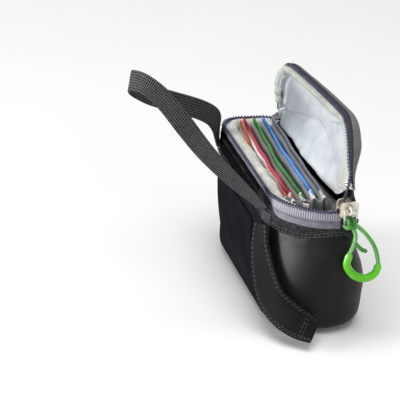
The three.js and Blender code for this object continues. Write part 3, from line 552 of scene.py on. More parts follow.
class Shader:
    """A node material with one Principled shader."""

    def __init__(self, name, roughness=0.8, metallic=0.0, sheen=0.0, specular=0.3):
        self.material = bpy.data.materials.new(name)
        self.material.use_nodes = True
        self.tree = self.material.node_tree
        self.shader = self.tree.nodes["Principled BSDF"]
        self.shader.inputs["Roughness"].default_value = roughness
        self.shader.inputs["Metallic"].default_value = metallic
        self.shader.inputs["Sheen Weight"].default_value = sheen
        self.shader.inputs["Specular IOR Level"].default_value = specular

    def node(self, kind, inputs=None, **settings):
        made = self.tree.nodes.new("ShaderNode" + kind)
        for key, value in settings.items():
            setattr(made, key, value)
        for key, value in (inputs or {}).items():
            if hasattr(value, "is_output"):
                self.tree.links.new(value, made.inputs[key])
            else:
                made.inputs[key].default_value = value
        return made

    def math(self, operation, a, b=0.5, c=0.5, clamp=False):
        made = self.node("Math", {0: a, 1: b, 2: c}, operation=operation, use_clamp=clamp)
        return made.outputs[0]

    def uv(self):
        parts = self.node("SeparateXYZ", {0: self.node("UVMap", uv_map="UVMap").outputs[0]})
        return parts.outputs[0], parts.outputs[1]

    def place(self):
        return self.node("TexCoord").outputs["Object"]

    def noise(self, scale, detail=3.0, roughness=0.55):
        inputs = {"Vector": self.place(), "Scale": scale, "Detail": detail, "Roughness": roughness}
        return self.node("TexNoise", inputs).outputs["Fac"]

    def wave(self, value, period):
        """A value that swings from 0 to 1 over each period."""
        turned = self.math("MULTIPLY", value, 2 * math.pi / period)
        return self.math("MULTIPLY_ADD", self.math("SINE", turned), 0.5, 0.5)

    def fade(self, value, zero_at, one_at):
        """0 on one side, 1 on the other and an even change between the two places."""
        length = one_at - zero_at
        return self.math("MULTIPLY_ADD", value, 1 / length, -zero_at / length, clamp=True)

    def shade(self, first, first_share, second, second_share, base):
        """Shares of two values, added to a base and kept between 0 and 1."""
        rest = self.math("MULTIPLY_ADD", second, second_share, base)
        return self.math("MULTIPLY_ADD", first, first_share, rest, clamp=True)

    def ramp(self, value, stops):
        made = self.node("ValToRGB", {0: value})
        ramp = made.color_ramp
        while len(ramp.elements) < len(stops):
            ramp.elements.new(0.5)
        for element, (at, colour) in zip(ramp.elements, stops):
            element.position = at
            element.color = (*linear(colour), 1)
        return made.outputs[0]

    def mix(self, share, a, b):
        made = self.node("Mix", {0: share}, data_type="RGBA")
        for socket, value in ((6, a), (7, b)):
            if hasattr(value, "is_output"):
                self.tree.links.new(value, made.inputs[socket])
            else:
                made.inputs[socket].default_value = (*linear(value), 1)
        return made.outputs[2]

    def colour(self, value):
        self.tree.links.new(value, self.shader.inputs["Base Color"])

    def roughness(self, value, low, high):
        spread = self.math("MULTIPLY_ADD", value, high - low, low)
        self.tree.links.new(spread, self.shader.inputs["Roughness"])

    def bump(self, height, millimetres):
        made = self.node("Bump", {"Strength": 1.0, "Distance": millimetres * MM, "Height": height})
        self.tree.links.new(made.outputs[0], self.shader.inputs["Normal"])


def linear(colour):
    """A hex colour as linear red, green and blue."""
    parts = [int(colour[i:i + 2], 16) / 255 for i in (1, 3, 5)]
    return [c / 12.92 if c <= 0.04045 else ((c + 0.055) / 1.055) ** 2.4 for c in parts]


def twill(name, dark, light, period, rough, specular, slope, depth=0.1):
    """Cloth with raised diagonal lines, broken up along their length by the weave."""
    s = Shader(name, rough, specular=specular)
    u, v = s.uv()
    slant = s.math("MULTIPLY_ADD", u, slope, v)
    cross = s.math("MULTIPLY_ADD", v, -slope, u)
    lines = s.wave(slant, period)
    threads = s.wave(cross, period * 0.55)
    weave = s.math("MULTIPLY_ADD", threads, 0.3, s.math("MULTIPLY", lines, 0.7))
    patch = s.noise(60)
    shade = s.shade(patch, 0.5, weave, 0.9, -0.25)
    s.colour(s.ramp(shade, [(0.0, dark), (1.0, light)]))
    s.roughness(weave, rough + 0.14, rough - 0.1)
    s.bump(weave, depth)
    return s.material


# How soft the ends of a stretch of painted shade are, and how much darker the cloth is inside it
PAINTED_SHADE_FADE = 8
PAINTED_SHADE_LOSS = 0.7


def plain_weave(name, dark, light, period, rough, sheen=0.0, depth=0.05, mottle=120, specular=0.3, painted_shade_span=None):
    """Cloth with a fine square weave and a soft change of shade.

    The last argument gives a stretch of the texture, from one place along it to another, in which the cloth
    is painted darker, as painted shade.
    """
    s = Shader(name, rough, sheen=sheen, specular=specular)
    u, v = s.uv()
    weave = s.math("MULTIPLY", s.wave(u, period), s.wave(v, period))
    soft = s.noise(mottle)
    shade = s.shade(weave, 0.35, soft, 0.9, -0.12)
    # Painted shade: inside the stretch the cloth is darkened
    if painted_shade_span:
        begin, end = painted_shade_span
        inside = s.math("MULTIPLY", s.fade(u, begin, begin + PAINTED_SHADE_FADE), s.fade(u, end, end - PAINTED_SHADE_FADE))
        shade = s.math("MULTIPLY", shade, s.math("MULTIPLY_ADD", inside, -PAINTED_SHADE_LOSS, 1.0))
    s.colour(s.ramp(shade, [(0.1, dark), (0.9, light)]))
    s.roughness(soft, rough - 0.08, rough + 0.08)
    s.bump(weave, depth)
    return s.material


def ribbed(name, dark, light, across, along, rough, depth=0.12, specular=0.3):
    """Woven tape: ribs across it, broken into short floats along its length."""
    s = Shader(name, rough, specular=specular)
    u, v = s.uv()
    rows = s.wave(u, along)
    columns = s.wave(v, across)
    floats = s.math("MULTIPLY", s.math("POWER", rows, 0.8), s.math("MULTIPLY_ADD", columns, 0.75, 0.25))
    fuzz = s.noise(500)
    shade = s.shade(fuzz, 0.35, floats, 0.95, -0.15)
    s.colour(s.ramp(shade, [(0.05, dark), (0.95, light)]))
    s.roughness(floats, rough + 0.08, rough - 0.08)
    s.bump(floats, depth)
    return s.material


def felted(s, scale):
    """Fine fibres, and the shade that they give together with a soft cloud."""
    fibres = s.noise(scale, detail=5.0, roughness=0.7)
    cloud = s.noise(70)
    return fibres, s.math("MULTIPLY_ADD", cloud, 0.5, s.math("MULTIPLY", fibres, 0.5))


def felt(name, dark, light, depth, scale):
    s = Shader(name, 0.95, specular=0.0)
    fibres, shade = felted(s, scale)
    s.colour(s.ramp(shade, [(0.25, dark), (0.75, light)]))
    s.bump(fibres, depth)
    return s.material


def felt_with_painted_shade(name, dark, light, edge_dark, edge_light, edge):
    """Felt that is paler along its upper edge, where the texture ends at zero; the darker felt below is
    painted shade in the gaps between dividers.
    """
    s = Shader(name, 0.95, sheen=0.25, specular=0.15)
    _, v = s.uv()
    fibres, shade = felted(s, 900)
    low = s.ramp(shade, [(0.25, dark), (0.75, light)])
    high = s.ramp(shade, [(0.25, edge_dark), (0.75, edge_light)])
    blur = 0.75
    s.colour(s.mix(s.fade(v, -edge - blur, -edge + blur), low, high))
    s.bump(fibres, 0.12)
    return s.material


def herringbone(name, dark, light, period, rough):
    s = Shader(name, rough, sheen=0.1, specular=0.25)
    u, v = s.uv()
    folded = s.math("PINGPONG", u, period * 3)
    lines = s.wave(s.math("ADD", v, folded), period)
    grain = s.noise(650, detail=4.0)
    cloud = s.noise(45)
    shade = s.math("MULTIPLY_ADD", grain, 0.5, s.math("MULTIPLY_ADD", lines, 0.45, -0.05))
    shade = s.math("MULTIPLY_ADD", cloud, 0.35, s.math("ADD", shade, -0.15), clamp=True)
    s.colour(s.ramp(shade, [(0.15, dark), (0.9, light)]))
    s.bump(lines, 0.06)
    return s.material


def satin(name, dark, light, rough, depth, specular):
    """Smooth coated lining with a faint woven grid and soft creases."""
    s = Shader(name, rough, specular=specular)
    u, v = s.uv()
    grid = 1.3
    weave = s.math("MULTIPLY", s.wave(u, grid), s.wave(v, grid))
    creases = s.noise(110, detail=4.0, roughness=0.6)
    # Painted shade: the colour is darker where the creases sink, as the bump below follows the same creases
    shade = s.shade(creases, 0.9, weave, 0.2, -0.05)
    s.colour(s.ramp(shade, [(0.2, dark), (0.8, light)]))
    s.roughness(creases, rough - 0.07, rough + 0.1)
    height = s.math("MULTIPLY_ADD", weave, 0.25, creases)
    s.bump(height, depth)
    return s.material


# Places on the lid's lining, in millimetres along the fold and away from it
# Where the painted shadow low on the lining's far end starts and where it is full
PAINTED_SHADOW_STARTS, PAINTED_SHADOW_FULL = 55, 85
PAINTED_SHADOW_ENDS_ABOVE, PAINTED_SHADOW_FULL_BELOW = 32, 18
NET_ENDS = 12
NET_PERIOD = 2.3
NET_SLOPE = 1.4


def net_lining(name, dark, light, grey, cream, cord_colour, rough):
    """Silvery coated lining: a grey painted shadow low down at the far end, with a fine slanting net at the
    near end.
    """
    s = Shader(name, rough, specular=0.45)
    u, v = s.uv()
    creases = s.noise(100, detail=4.0, roughness=0.6)
    # Painted shade: the lining is darker where its creases sink, as the bump follows the same creases
    plain = s.ramp(creases, [(0.25, dark), (0.75, light)])
    # Painted shadow: grey mixed into the lining low down towards the far end
    far = s.fade(u, PAINTED_SHADOW_STARTS, PAINTED_SHADOW_FULL)
    low = s.fade(v, PAINTED_SHADOW_ENDS_ABOVE, PAINTED_SHADOW_FULL_BELOW)
    plain = s.mix(s.math("MULTIPLY", s.math("MULTIPLY", far, low), 0.85), plain, grey)
    near = s.fade(u, NET_ENDS, 0)
    lines = s.wave(s.math("MULTIPLY_ADD", u, NET_SLOPE, v), NET_PERIOD)
    cords = s.math("MULTIPLY", s.math("POWER", lines, 2.0), near)
    plain = s.mix(s.math("MULTIPLY", near, 0.8), plain, cream)
    s.colour(s.mix(s.math("MULTIPLY", cords, 0.8), plain, cord_colour))
    s.roughness(creases, rough - 0.07, rough + 0.1)
    s.bump(s.math("MULTIPLY_ADD", cords, 0.8, s.math("MULTIPLY", creases, 0.7)), 0.14)
    return s.material


def ticked_tape(name, dark, light, tick, tick_from):
    """Zip tape: a mottled weave, with a row of upright floats along its upper part."""
    s = Shader(name, 0.8, sheen=0.1)
    u, v = s.uv()
    thread, float_period = 0.9, 1.1
    weave = s.math("MULTIPLY", s.wave(s.math("ADD", u, v), thread), s.wave(s.math("SUBTRACT", u, v), thread))
    fuzz = s.noise(420)
    shade = s.shade(fuzz, 0.8, weave, 0.4, -0.15)
    plain = s.ramp(shade, [(0.1, dark), (0.9, light)])
    upper = s.math("SUBTRACT", v, tick_from, clamp=True)
    floats = s.math("MULTIPLY", s.math("POWER", s.wave(u, float_period), 1.5), upper)
    s.colour(s.mix(s.math("MULTIPLY", floats, 0.75), plain, tick))
    s.bump(s.math("MULTIPLY_ADD", weave, 0.5, floats), 0.14)
    return s.material


def metal(name, dark, light, rough):
    s = Shader(name, rough, metallic=1.0, specular=0.5)
    smears = s.noise(300)
    s.colour(s.ramp(smears, [(0.3, dark), (0.7, light)]))
    s.roughness(smears, rough - 0.04, rough + 0.08)
    s.bump(smears, 0.004)
    return s.material


def braid(name, dark, light, diameter):
    s = Shader(name, 0.75, sheen=0.3, specular=0.3)
    u, v = s.uv()
    turn = s.math("MULTIPLY", v, 2 * diameter)
    one = s.wave(s.math("ADD", u, turn), diameter * 0.5)
    two = s.wave(s.math("SUBTRACT", u, turn), diameter * 0.5)
    strands = s.math("MAXIMUM", one, two)
    fuzz = s.noise(800)
    shade = s.shade(fuzz, 0.4, strands, 0.7, -0.05)
    s.colour(s.ramp(shade, [(0.2, dark), (0.9, light)]))
    s.bump(strands, 0.12)
    return s.material


def moulded(name, dark, light, rough, specular):
    s = Shader(name, rough, specular=specular)
    cloud = s.noise(90)
    fine = s.noise(700, detail=4.0)
    s.colour(s.ramp(cloud, [(0.3, dark), (0.7, light)]))
    s.roughness(fine, rough - 0.08, rough + 0.1)
    s.bump(fine, 0.02)
    return s.material


NYLON_WEAVE = dict(period=1.55, slope=-1.35, depth=0.16)
NYLON = twill("black_twill", "#020203", "#1d1c20", rough=0.45, specular=0.2, **NYLON_WEAVE)
# The back panel's nylon: a copy without gloss, which keeps the back dark as painted shade
NYLON_BACK = twill("black_twill_back", "#08080a", "#322f35", rough=0.6, specular=0.0, **NYLON_WEAVE)
# Stretch of the rim, along the back, in which it is painted darker, as painted shade
RIM_PAINTED_SHADE = (way_of(FAR_BACK), ROUND)
RIM = plain_weave(
    "rim_mesh", "#060607", "#5a595d", period=1.15, rough=0.8, depth=0.2, mottle=500, specular=0.0,
    painted_shade_span=RIM_PAINTED_SHADE,
)
BINDING_DARK = plain_weave("dark_binding", "#070708", "#1c1b1e", period=0.7, rough=0.85, specular=0.15)
BODY_LINING = satin("body_lining", "#959991", "#f0f2ea", rough=0.6, depth=0.3, specular=0.3)
# grey is the colour of the painted shadow low on the lining's far end
LID_LINING = net_lining(
    "lid_lining", "#b0b7be", "#dde2e6", grey="#6c727c", cream="#d0d2c7", cord_colour="#5b5d56", rough=0.45,
)
PALE_EDGE = dict(period=0.8, rough=0.75, sheen=0.1, depth=0.08)
LINING_EDGE = plain_weave("pale_binding", "#8f938a", "#cfd2c9", **PALE_EDGE)
END_EDGE = plain_weave("end_binding", "#b4b7ae", "#f0f2ea", **PALE_EDGE)
TAPE = ticked_tape("zip_tape", "#625f6c", "#a19eab", tick="#c4c1cd", tick_from=TAPE_TOP - 3.2)
TAPE_DARK = ribbed("zip_tape_dark", "#19181c", "#45434a", across=1.4, along=0.75, rough=0.85)
COIL = moulded("zip_coil", "#262342", "#4d4968", rough=0.45, specular=0.3)
# The divider felt's dark shades below its pale edge are painted shade in the gaps between dividers
FELT = felt_with_painted_shade("divider_felt", "#3a3f42", "#5c6265", "#dde2e4", "#ffffff", edge=4.6)
GUSSET = plain_weave("gusset_cloth", "#474d51", "#989fa3", period=0.7, rough=0.85, specular=0.2)
LABEL = plain_weave("label_cloth", "#d8bdbf", "#f6efef", period=0.5, rough=0.7)
LID_CLOTH = herringbone("lid_cloth", "#454348", "#918f95", period=1.1, rough=0.85)
NICKEL = metal("nickel", "#c9c3b3", "#efebdf", rough=0.3)
CORD = braid("pull_cord", "#2f8a2c", "#7cc46b", CORD_DIAMETER)
# The knot and its tail are the same cord as the loop; their darker green is painted shade
KNOT = braid("pull_knot", "#1d5c18", "#4c9a38", CORD_DIAMETER)
GRIP = moulded("grip_rubber", "#4fb806", "#74d814", rough=0.32, specular=0.5)
WEBBING = ribbed("webbing", "#060607", "#747377", across=1.2, along=0.85, rough=0.8, depth=0.2, specular=0.05)
FLAP = twill("flap_cloth", "#080809", "#2f2e32", period=0.9, rough=0.85, specular=0.03, slope=1.0)
HOOK = felt("hook_tape", "#0a0a0b", "#29282c", depth=0.5, scale=1400)
THREAD = braid("thread", "#1e1d20", "#504f53", diameter=0.4)
THREAD_DARK = braid("dark_thread", "#141416", "#3f3e42", diameter=0.4)
TRIM_COLOURS = {
    "orange": ("#9c4322", "#e0794a"),
    "red": ("#8d0c22", "#e02a45"),
    "green": ("#226a1e", "#4fb043"),
    "blue": ("#1a63bd", "#66abfa"),
    "grey": ("#55525a", "#a5a1a7"),
}
TRIMS = {
    colour: ribbed(f"trim_{colour}", dark, light, across=0.8, along=0.7, rough=0.85, depth=0.1)
    for colour, (dark, light) in TRIM_COLOURS.items()
}


def dress(obj, material, body, stands_for=()):
    """Gives a piece its material and its body, and hides the solids it stands for."""
    obj.data.materials.clear()
    obj.data.materials.append(material)
    if body:
        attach(obj, body)
    if stands_for:
        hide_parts(*stands_for)
    return obj


def dress_cloth(obj, thickness, material, body, stands_for=(), offset=-1.0):
    """Gives a sheet its thickness and soft edges, and dresses it."""
    thicken(obj, thickness, offset)
    soften(obj)
    dress(obj, material, body, stands_for)


# Pull: a cord loop hung on the slider's bail, through a moulded grip.
# Its points are measured from the slider's lug: outwards, along the zip and up.
PULL_TURN = math.radians(SLIDER_PARKED)
PULL_OUT = np.array([math.cos(PULL_TURN), math.sin(PULL_TURN), 0])
PULL_ALONG = np.array([-math.sin(PULL_TURN), math.cos(PULL_TURN), 0])
PULL_AT = np.array([*NEAR_CENTRE, ZIP_HEIGHT]) + LUG_RADIUS * PULL_OUT


def on_pull(points):
    p = np.asarray(points, float)
    return PULL_AT + p[:, :1] * PULL_OUT + p[:, 1:2] * PULL_ALONG + p[:, 2:] * UP


GRIP_PATH = [
    (1, 1, -22.5), (0.9, 0.4, -27), (1.9, 4.6, -32.6),
    (3.2, 10, -33.9), (4.2, 13.8, -31.3), (4.6, 14.7, -27.8),
]
CORD_BEND = 1.85
CORD_DOWN = [(CORD_BEND, 0.5, -BAIL_LENGTH - 0.6), (1.9, 2.7, -12), (1.5, 2.6, -16.5)]
CORD_UP = [(3, 13.2, -19.4), (0.8, 9, -12.8), (-0.8, 4.2, -8.4), (-CORD_BEND, 1, -BAIL_LENGTH - 0.6)]
CORD_TAIL = [(1.5, 2.6, -15.4), (2.4, 4.2, -17.2), (2.9, 6.2, -19.0), (3.0, 8.0, -19.8)]
KNOT_TURNS_AT = (-1.25, 1.25)
KNOT_BAR = [
    (1.7, -2.1, -7.7), (2.6, -1, -7.4), (2.7, 0.4, -7.4), (2.2, 1.8, -7.6), (0.8, 2.4, -7.9),
    (-1.0, 2.2, -7.9), (-1.7, 0.6, -7.6), (-1.6, -1.2, -7.5), (-0.3, -2.3, -7.7),
]
KNOT_CORD_RADIUS = CORD_DIAMETER * 0.42
CORD_SIDES = 10


def make_cord(route):
    data = bpy.data.curves.new("pull_cord_loop", "CURVE")
    data.dimensions = "3D"
    data.bevel_depth = CORD_DIAMETER / 2 * MM
    data.bevel_resolution = 4
    data.use_fill_caps = True
    spline = data.splines.new("POLY")
    spline.points.add(len(route) - 1)
    for point, at in zip(spline.points, route):
        point.co = (*(at * MM), 1)
    spline.use_smooth = True
    cord = add_object("pull_cord_loop", data)
    return dress(cord, CORD, "pull", ["pull_cord"])


def make_grip():
    """The moulded grip: a tube with a slight belly and a lip at each end."""
    line = smooth_path(on_pull(GRIP_PATH), count=44)
    share = np.linspace(0, 1, len(line))
    lip_at, lip_width = 0.03, 0.03
    lip = np.exp(-((share - lip_at) / lip_width) ** 2) + np.exp(-((share - 1 + lip_at) / lip_width) ** 2)
    belly = np.sin(math.pi * share)
    radius = GRIP_DIAMETER / 2 * (0.86 + 0.16 * belly + 0.08 * lip)
    grip = tube("pull_grip_soft", line, radius, sides=20)
    soften(grip)
    return dress(grip, GRIP, "pull", ["pull_grip"])


def make_knot():
    """The knot on the bail: two turns round it, a bar round those, and the cord's short tail."""
    turns = []
    for y in KNOT_TURNS_AT:
        angles = np.linspace(0, 2 * math.pi, 20, endpoint=False)
        ring = [(CORD_BEND * math.cos(a), y, -BAIL_LENGTH + CORD_BEND * math.sin(a)) for a in angles]
        turns.append(tube("turn", on_pull(ring), KNOT_CORD_RADIUS, CORD_SIDES, closed=True))
    bar = smooth_path(on_pull(KNOT_BAR + KNOT_BAR[:1]), count=40)[:-1]
    turns.append(tube("turn", bar, KNOT_CORD_RADIUS, CORD_SIDES, closed=True))
    tail = smooth_path(on_pull(CORD_TAIL), count=16)
    turns.append(tube("turn", tail, CORD_DIAMETER / 2, CORD_SIDES))
    return dress(join_as("pull_knot", turns), KNOT, "pull")


def make_pull():
    route = smooth_path(on_pull([*CORD_DOWN, *GRIP_PATH, *CORD_UP]), count=60)
    cord = make_cord(route)
    grip = make_grip()
    knot = make_knot()


make_pull()

# Metal pieces keep their solids, with rounded edges
for metal_node, edge in (("zip_slider", 0.22), ("slider_bail", 0.0)):
    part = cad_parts[metal_node]
    part.data.materials.clear()
    part.data.materials.append(NICKEL)
    if edge:
        bevel = part.modifiers.new("edges", "BEVEL")
        bevel.width = edge * MM
        bevel.segments = 3
        bevel.limit_method = "ANGLE"
    else:
        soften(part)

# Nylon shell
SEAM_NEAR = arc_mark(NEAR_ARC, 101)
SEAM_FAR = arc_mark(FAR_BACK, 79)
SHELL_SWELL = 0.9
SHELL_CLOTH = 1.0
SHELL_WAVES = 0.22
BAND_CLOTH = 0.8
RIM_RISE = 2.6


def near_angle(marks):
    """The angle of each mark round the near arc; marks on other runs count as the arc's start."""
    start, turn = np.degrees(MOUTH[NEAR_ARC][3:5])
    return np.where(marks < 1, start % 360 + marks * turn, start % 360)


def rim_rise(marks):
    """How much the lower edge of the rim band rises on its way to the slider."""
    on_arc = smoothstep(near_angle(marks), 140, 182) * (marks < 1)
    past_arc = (1 - smoothstep(marks, 1, FRONT + 0.3)) * (marks >= 1)
    return RIM_RISE * (on_arc + past_arc)


def tape_cover(marks):
    """How far the rim band is drawn up over the zip tape: at the far end and the back only."""
    back = (marks >= FAR_FRONT + 0.3).astype(float)
    return np.maximum(back, (1 - smoothstep(near_angle(marks), 96, 122)) * (marks < 1))


# Rows at the rounded foot of the wall: heights, and shares of the bottom's edge by which they are drawn in
FOOT_ROWS = [(0.25, 0.5), (0.5, 0.36), (1.2, 0.22), (2.4, 0.12), (3.6, 0.06), (6.0, 0.02), (WALL_FOOT - 2, 0)]
WALL_ROWS = 24


def shell_profile():
    """Heights of the side wall and how far each is drawn in at the rounded foot."""
    upper = np.linspace(WALL_FOOT, SHELL_TOP + 0.6, WALL_ROWS)
    heights = np.array([z for z, _ in FOOT_ROWS] + list(upper))
    insets = np.array([share * BOTTOM_EDGE for _, share in FOOT_ROWS] + [0] * WALL_ROWS)
    return heights, insets


def shell_sheet(name, mark_from, mark_to, material, stands_for, seed):
    ways, marks = span(mark_from, mark_to, step=2.2)
    heights, insets = shell_profile()
    points = wall(marks, -insets[:, None], heights)
    held = np.zeros(points.shape[:2], bool)
    held[:4] = True
    held[-2:] = True
    held[:, [0, -1]] = True
    quads, _ = grid_faces(*points.shape[:2])
    points = settle(points, quads, held, pressure=0.35, slack=0.006, reach=SHELL_SWELL)
    near_top = np.exp(-(SHELL_TOP - heights) / 5)[:, None]
    pucker = SHELL_WAVES * near_top * ripples(ways[None] / 5.0, heights[:, None] / 30, seed)
    dents = SHELL_WAVES * ripples(ways[None] / 30, heights[:, None] / 26, seed + 1)
    dents = dents * smoothstep(heights, 3, 14)[:, None] * (1 - near_top)
    points = points + wall_normals(marks, heights) * (pucker + dents)[:, :, None]
    points[:, :, 2] += smoothstep(heights, 34, SHELL_TOP)[:, None] * rim_rise(marks)[None]
    obj = sheet(name, points, along=ways, across=heights)
    dress_cloth(obj, SHELL_CLOTH, material, "pouch", stands_for)


shell_sheet("nylon_wrap", SEAM_NEAR, SEAM_FAR, NYLON, ["side_wrap"], 11)
shell_sheet("nylon_back", SEAM_FAR, SEAM_NEAR, NYLON_BACK, ["back_panel"], 14)


# Rings of the bottom, from the outside in: shares of its outline, and heights
BOTTOM_RINGS = [
    (1.0, 0.45), (0.985, 0.2), (0.95, 0.05), (0.85, 0.05),
    (0.65, 0.05), (0.4, 0.05), (0.15, 0.05), (0.02, 0.05),
]


def bottom_sheet():
    _, marks = all_round(step=3.0)
    rim = wall(marks, -0.42 * BOTTOM_EDGE, 0.3)[0]
    middle = rim.mean(0)
    rows = []
    for share, height in BOTTOM_RINGS:
        ring = middle + (rim - middle) * share
        ring[:, 2] = height
        rows.append(ring)
    points = np.array(rows)
    obj = sheet("nylon_bottom", points, closed=True, unfolded=points[:, :, :2], cap="last")
    thicken(obj, SHELL_CLOTH, 1.0)
    dress(obj, NYLON, "pouch", ["bottom_panel"])


bottom_sheet()


def wall_strip(name, mark_from, mark_to, profile, step, wobble, seed, material, stands_for, tuck=None):
    """A band on the wall: profile is its section, as offsets and heights from the bottom up.

    Tuck gives how far the band is drawn in at each mark.
    """
    ways, marks = span(mark_from, mark_to, step)
    offsets = np.array([p[0] for p in profile])[:, None]
    if tuck:
        offsets = offsets - tuck(marks)[None]
    heights = np.array([p[1] for p in profile], float)
    points = wall(marks, offsets, heights)
    waves = wobble * ripples(ways[None] / 9, heights[:, None] / 12, seed)
    points = points + wall_normals(marks, heights) * waves[:, :, None]
    obj = sheet(name, points, along=ways, across=heights)
    dress_cloth(obj, BAND_CLOTH, material, "pouch", stands_for)


RIM_SECTION = [(-0.3, -0.15), (0.35, -0.12), (0.55, 0.07), (0.5, 0.35), (0.62, 0.63), (0.5, 0.9), (0.2, 1.1)]
COVERED_TOP = 59.3


def rim_band():
    """The mesh band under the zip; its section is offsets and shares of its height."""
    ways, marks = all_round(step=1.6)
    low = RIM_BOTTOM + rim_rise(marks)
    cover = tape_cover(marks)
    high = RIM_TOP + (COVERED_TOP - RIM_TOP) * cover
    ease = smoothstep(np.minimum(ways, ROUND - ways), 0, 8)
    rows = []
    for offset, share in RIM_SECTION:
        wave = 0.12 * ease * ripples(ways / 9, share, seed=21)
        out = offset + wave + 0.5 * cover * min(max(share, 0), 1)
        rows.append(by_mouth(marks, out, low + (high - low) * share))
    heights = [RIM_BOTTOM + (RIM_TOP - RIM_BOTTOM) * share for _, share in RIM_SECTION]
    obj = sheet("rim_mesh_band", np.array(rows), closed=True, along=np.append(ways, ROUND), across=heights)
    dress_cloth(obj, BAND_CLOTH, RIM, "pouch", ["rim_band"])


rim_band()


# A mark just short of where the mouth's outline comes round again
ALMOST_ROUND = 7.9999


def rim_stitching():
    _, marks = span(NEAR_ARC, ALMOST_ROUND, step=1.0)
    _, normal = on_belt(MOUTH, marks)
    normals = np.column_stack([normal, np.zeros(len(normal))])
    rows = []
    for height in (0.5, 1.9):
        points = by_mouth(marks, 0.62, RIM_BOTTOM + height + rim_rise(marks))
        rows.append((points, normals))
    obj = stitch_rows("rim_stitches", rows, length=1.2, gap=0.8, radius=0.17)
    dress(obj, THREAD, "pouch")


rim_stitching()

# Zip on the body
ZIP_START = FAR_FRONT + 0.15
ZIP_END = arc_mark(NEAR_ARC, BODY_COIL_END)
TAPE_SECTION = [
    (0.3, TAPE_BOTTOM - 0.5), (0.6, TAPE_BOTTOM + 0.2), (0.7, TAPE_BOTTOM + 2), (0.62, TAPE_BOTTOM + 4.4),
    (0.4, TAPE_TOP - 0.4), (0.1, TAPE_TOP + 0.9),
]
wall_strip(
    "zip_tape_woven", ZIP_START, ZIP_END, TAPE_SECTION, step=1.6, wobble=0.15, seed=31,
    material=TAPE, stands_for=["zip_tape_body"],
    tuck=lambda marks: 0.5 * tape_cover(marks),
)
# How far each row of teeth lies from the zip's plane, and points on each turn of the wire
ROW_FROM_PLANE = 1.85
WIRE_POINTS = 9


def wire_and_core(name, wire, core):
    """Zip teeth: a wound wire with the cord it is sewn on inside it."""
    turns = tube("turns", wire, COIL_WIRE, sides=5, rounded=False)
    cord = tube("core", core, 0.5 * COIL_REACH, sides=6, rounded=False)
    return join_as(name, [turns, cord])


def coil(name, mark_from, mark_to, place):
    """A wire wound along the zip; place gives points from marks, an outward offset and a height."""
    ways, _ = span(mark_from, mark_to, COIL_PITCH)
    fine = np.linspace(ways[0], ways[-1], (len(ways) - 1) * WIRE_POINTS + 1)
    turn = 2 * math.pi * np.arange(len(fine)) / WIRE_POINTS
    points = place(marks_at(fine), COIL_CENTRE + COIL_REACH * np.cos(turn), COIL_REACH * np.sin(turn))
    middle = place(marks_at(ways), COIL_CENTRE, 0)
    return wire_and_core(name, points, middle)


def on_body_row(marks, offset, height):
    return by_mouth(marks, offset, ZIP_HEIGHT - ROW_FROM_PLANE + height)


dress(coil("zip_coil_wound", ZIP_START, ZIP_END, on_body_row), COIL, "pouch", ["zip_coil_body"])


def tape_stitching():
    height, offset = TAPE_TOP - 3.6, 0.66
    _, marks = span(ZIP_START, ZIP_END, step=1.0)
    rows = [(wall(marks, offset, height)[0], wall_normals(marks, height)[0])]
    obj = stitch_rows("tape_stitches", rows, length=1.0, gap=0.6, radius=0.16)
    dress(obj, THREAD, "pouch")


tape_stitching()


def end_tab(name, mark_from, mark_to, lift, material, node):
    """The folded end of the tape, drawn down to a point."""
    ways, marks = span(mark_from, mark_to, step=0.8)
    share = np.linspace(0, 1, len(ways))
    top = TAPE_TOP - 2.2 - 3.2 * share ** 1.5
    low = TAPE_BOTTOM - 0.6 + 1.2 * share ** 2
    rows = []
    for k in np.linspace(0, 1, 6):
        offset = lift + 0.5 * np.sin(math.pi * k) + 0.5 * share
        rows.append(by_mouth(marks, offset, low * (1 - k) + top * k))
    obj = sheet(name, np.array(rows), along=ways)
    dress_cloth(obj, BAND_CLOTH, material, "pouch", [node])


end_tab("zip_end_fold_near", ZIP_END, NEAR_FRONT + 0.95, 0.5, TAPE_DARK, "zip_end_tab_near")
end_tab("zip_end_fold_far", FRONT + 0.95, FAR_FRONT + 0.3, 1.0, TAPE, "zip_end_tab_far")

FRONT_SECTION = [
    (0.2, TAPE_BOTTOM - 0.4), (0.45, TAPE_BOTTOM + 1), (0.5, TAPE_BOTTOM + 4), (0.4, TAPE_TOP),
    (0.0, ZIP_HEIGHT - 1.3),
]
wall_strip(
    "front_edge_binding", NEAR_FRONT + 0.1, FAR_FRONT + 0.1, FRONT_SECTION, step=2.0, wobble=0.15, seed=41,
    material=BINDING_DARK, stands_for=["front_binding"],
)

# Lining of the body, with a soft roll over the padding at the mouth.
# Its section is offsets, heights and shares of the roll's puff.
LINING_SECTION = [
    (-1.0, 59.6, 0), (-1.2, 61.2, 0.05), (-2.0, 62.3, 0.25), (-3.2, 62.7, 0.6), (-4.5, 62.2, 0.95),
    (-5.3, 60.9, 1), (-5.5, 58.5, 1), (-5.2, 55, 0.7), (-4.9, 50, 0.35), (-4.7, 42, 0.1),
    (-4.5, 30, 0), (-4.5, 20, 0), (-4.6, 13.5, 0), (-6.5, 9.0, 0), (-10.5, 6.6, 0),
]
BACK_PUFF = 1.7
NEAR_SLUMP = 1.6
FRONT_SLUMP = 6


def lining_slump(marks):
    """How far the roll at the mouth hangs down: a little round the near end, more along the front."""
    at_front = smoothstep(marks, 1.0, FRONT) * (1 - smoothstep(marks, FRONT + 0.75, FAR_FRONT))
    near = smoothstep(near_angle(marks), 86, 112) * (marks < 1)
    corner = (1 - at_front) * (marks >= 1) * (marks < FRONT)
    return NEAR_SLUMP * (near + corner) + FRONT_SLUMP * at_front


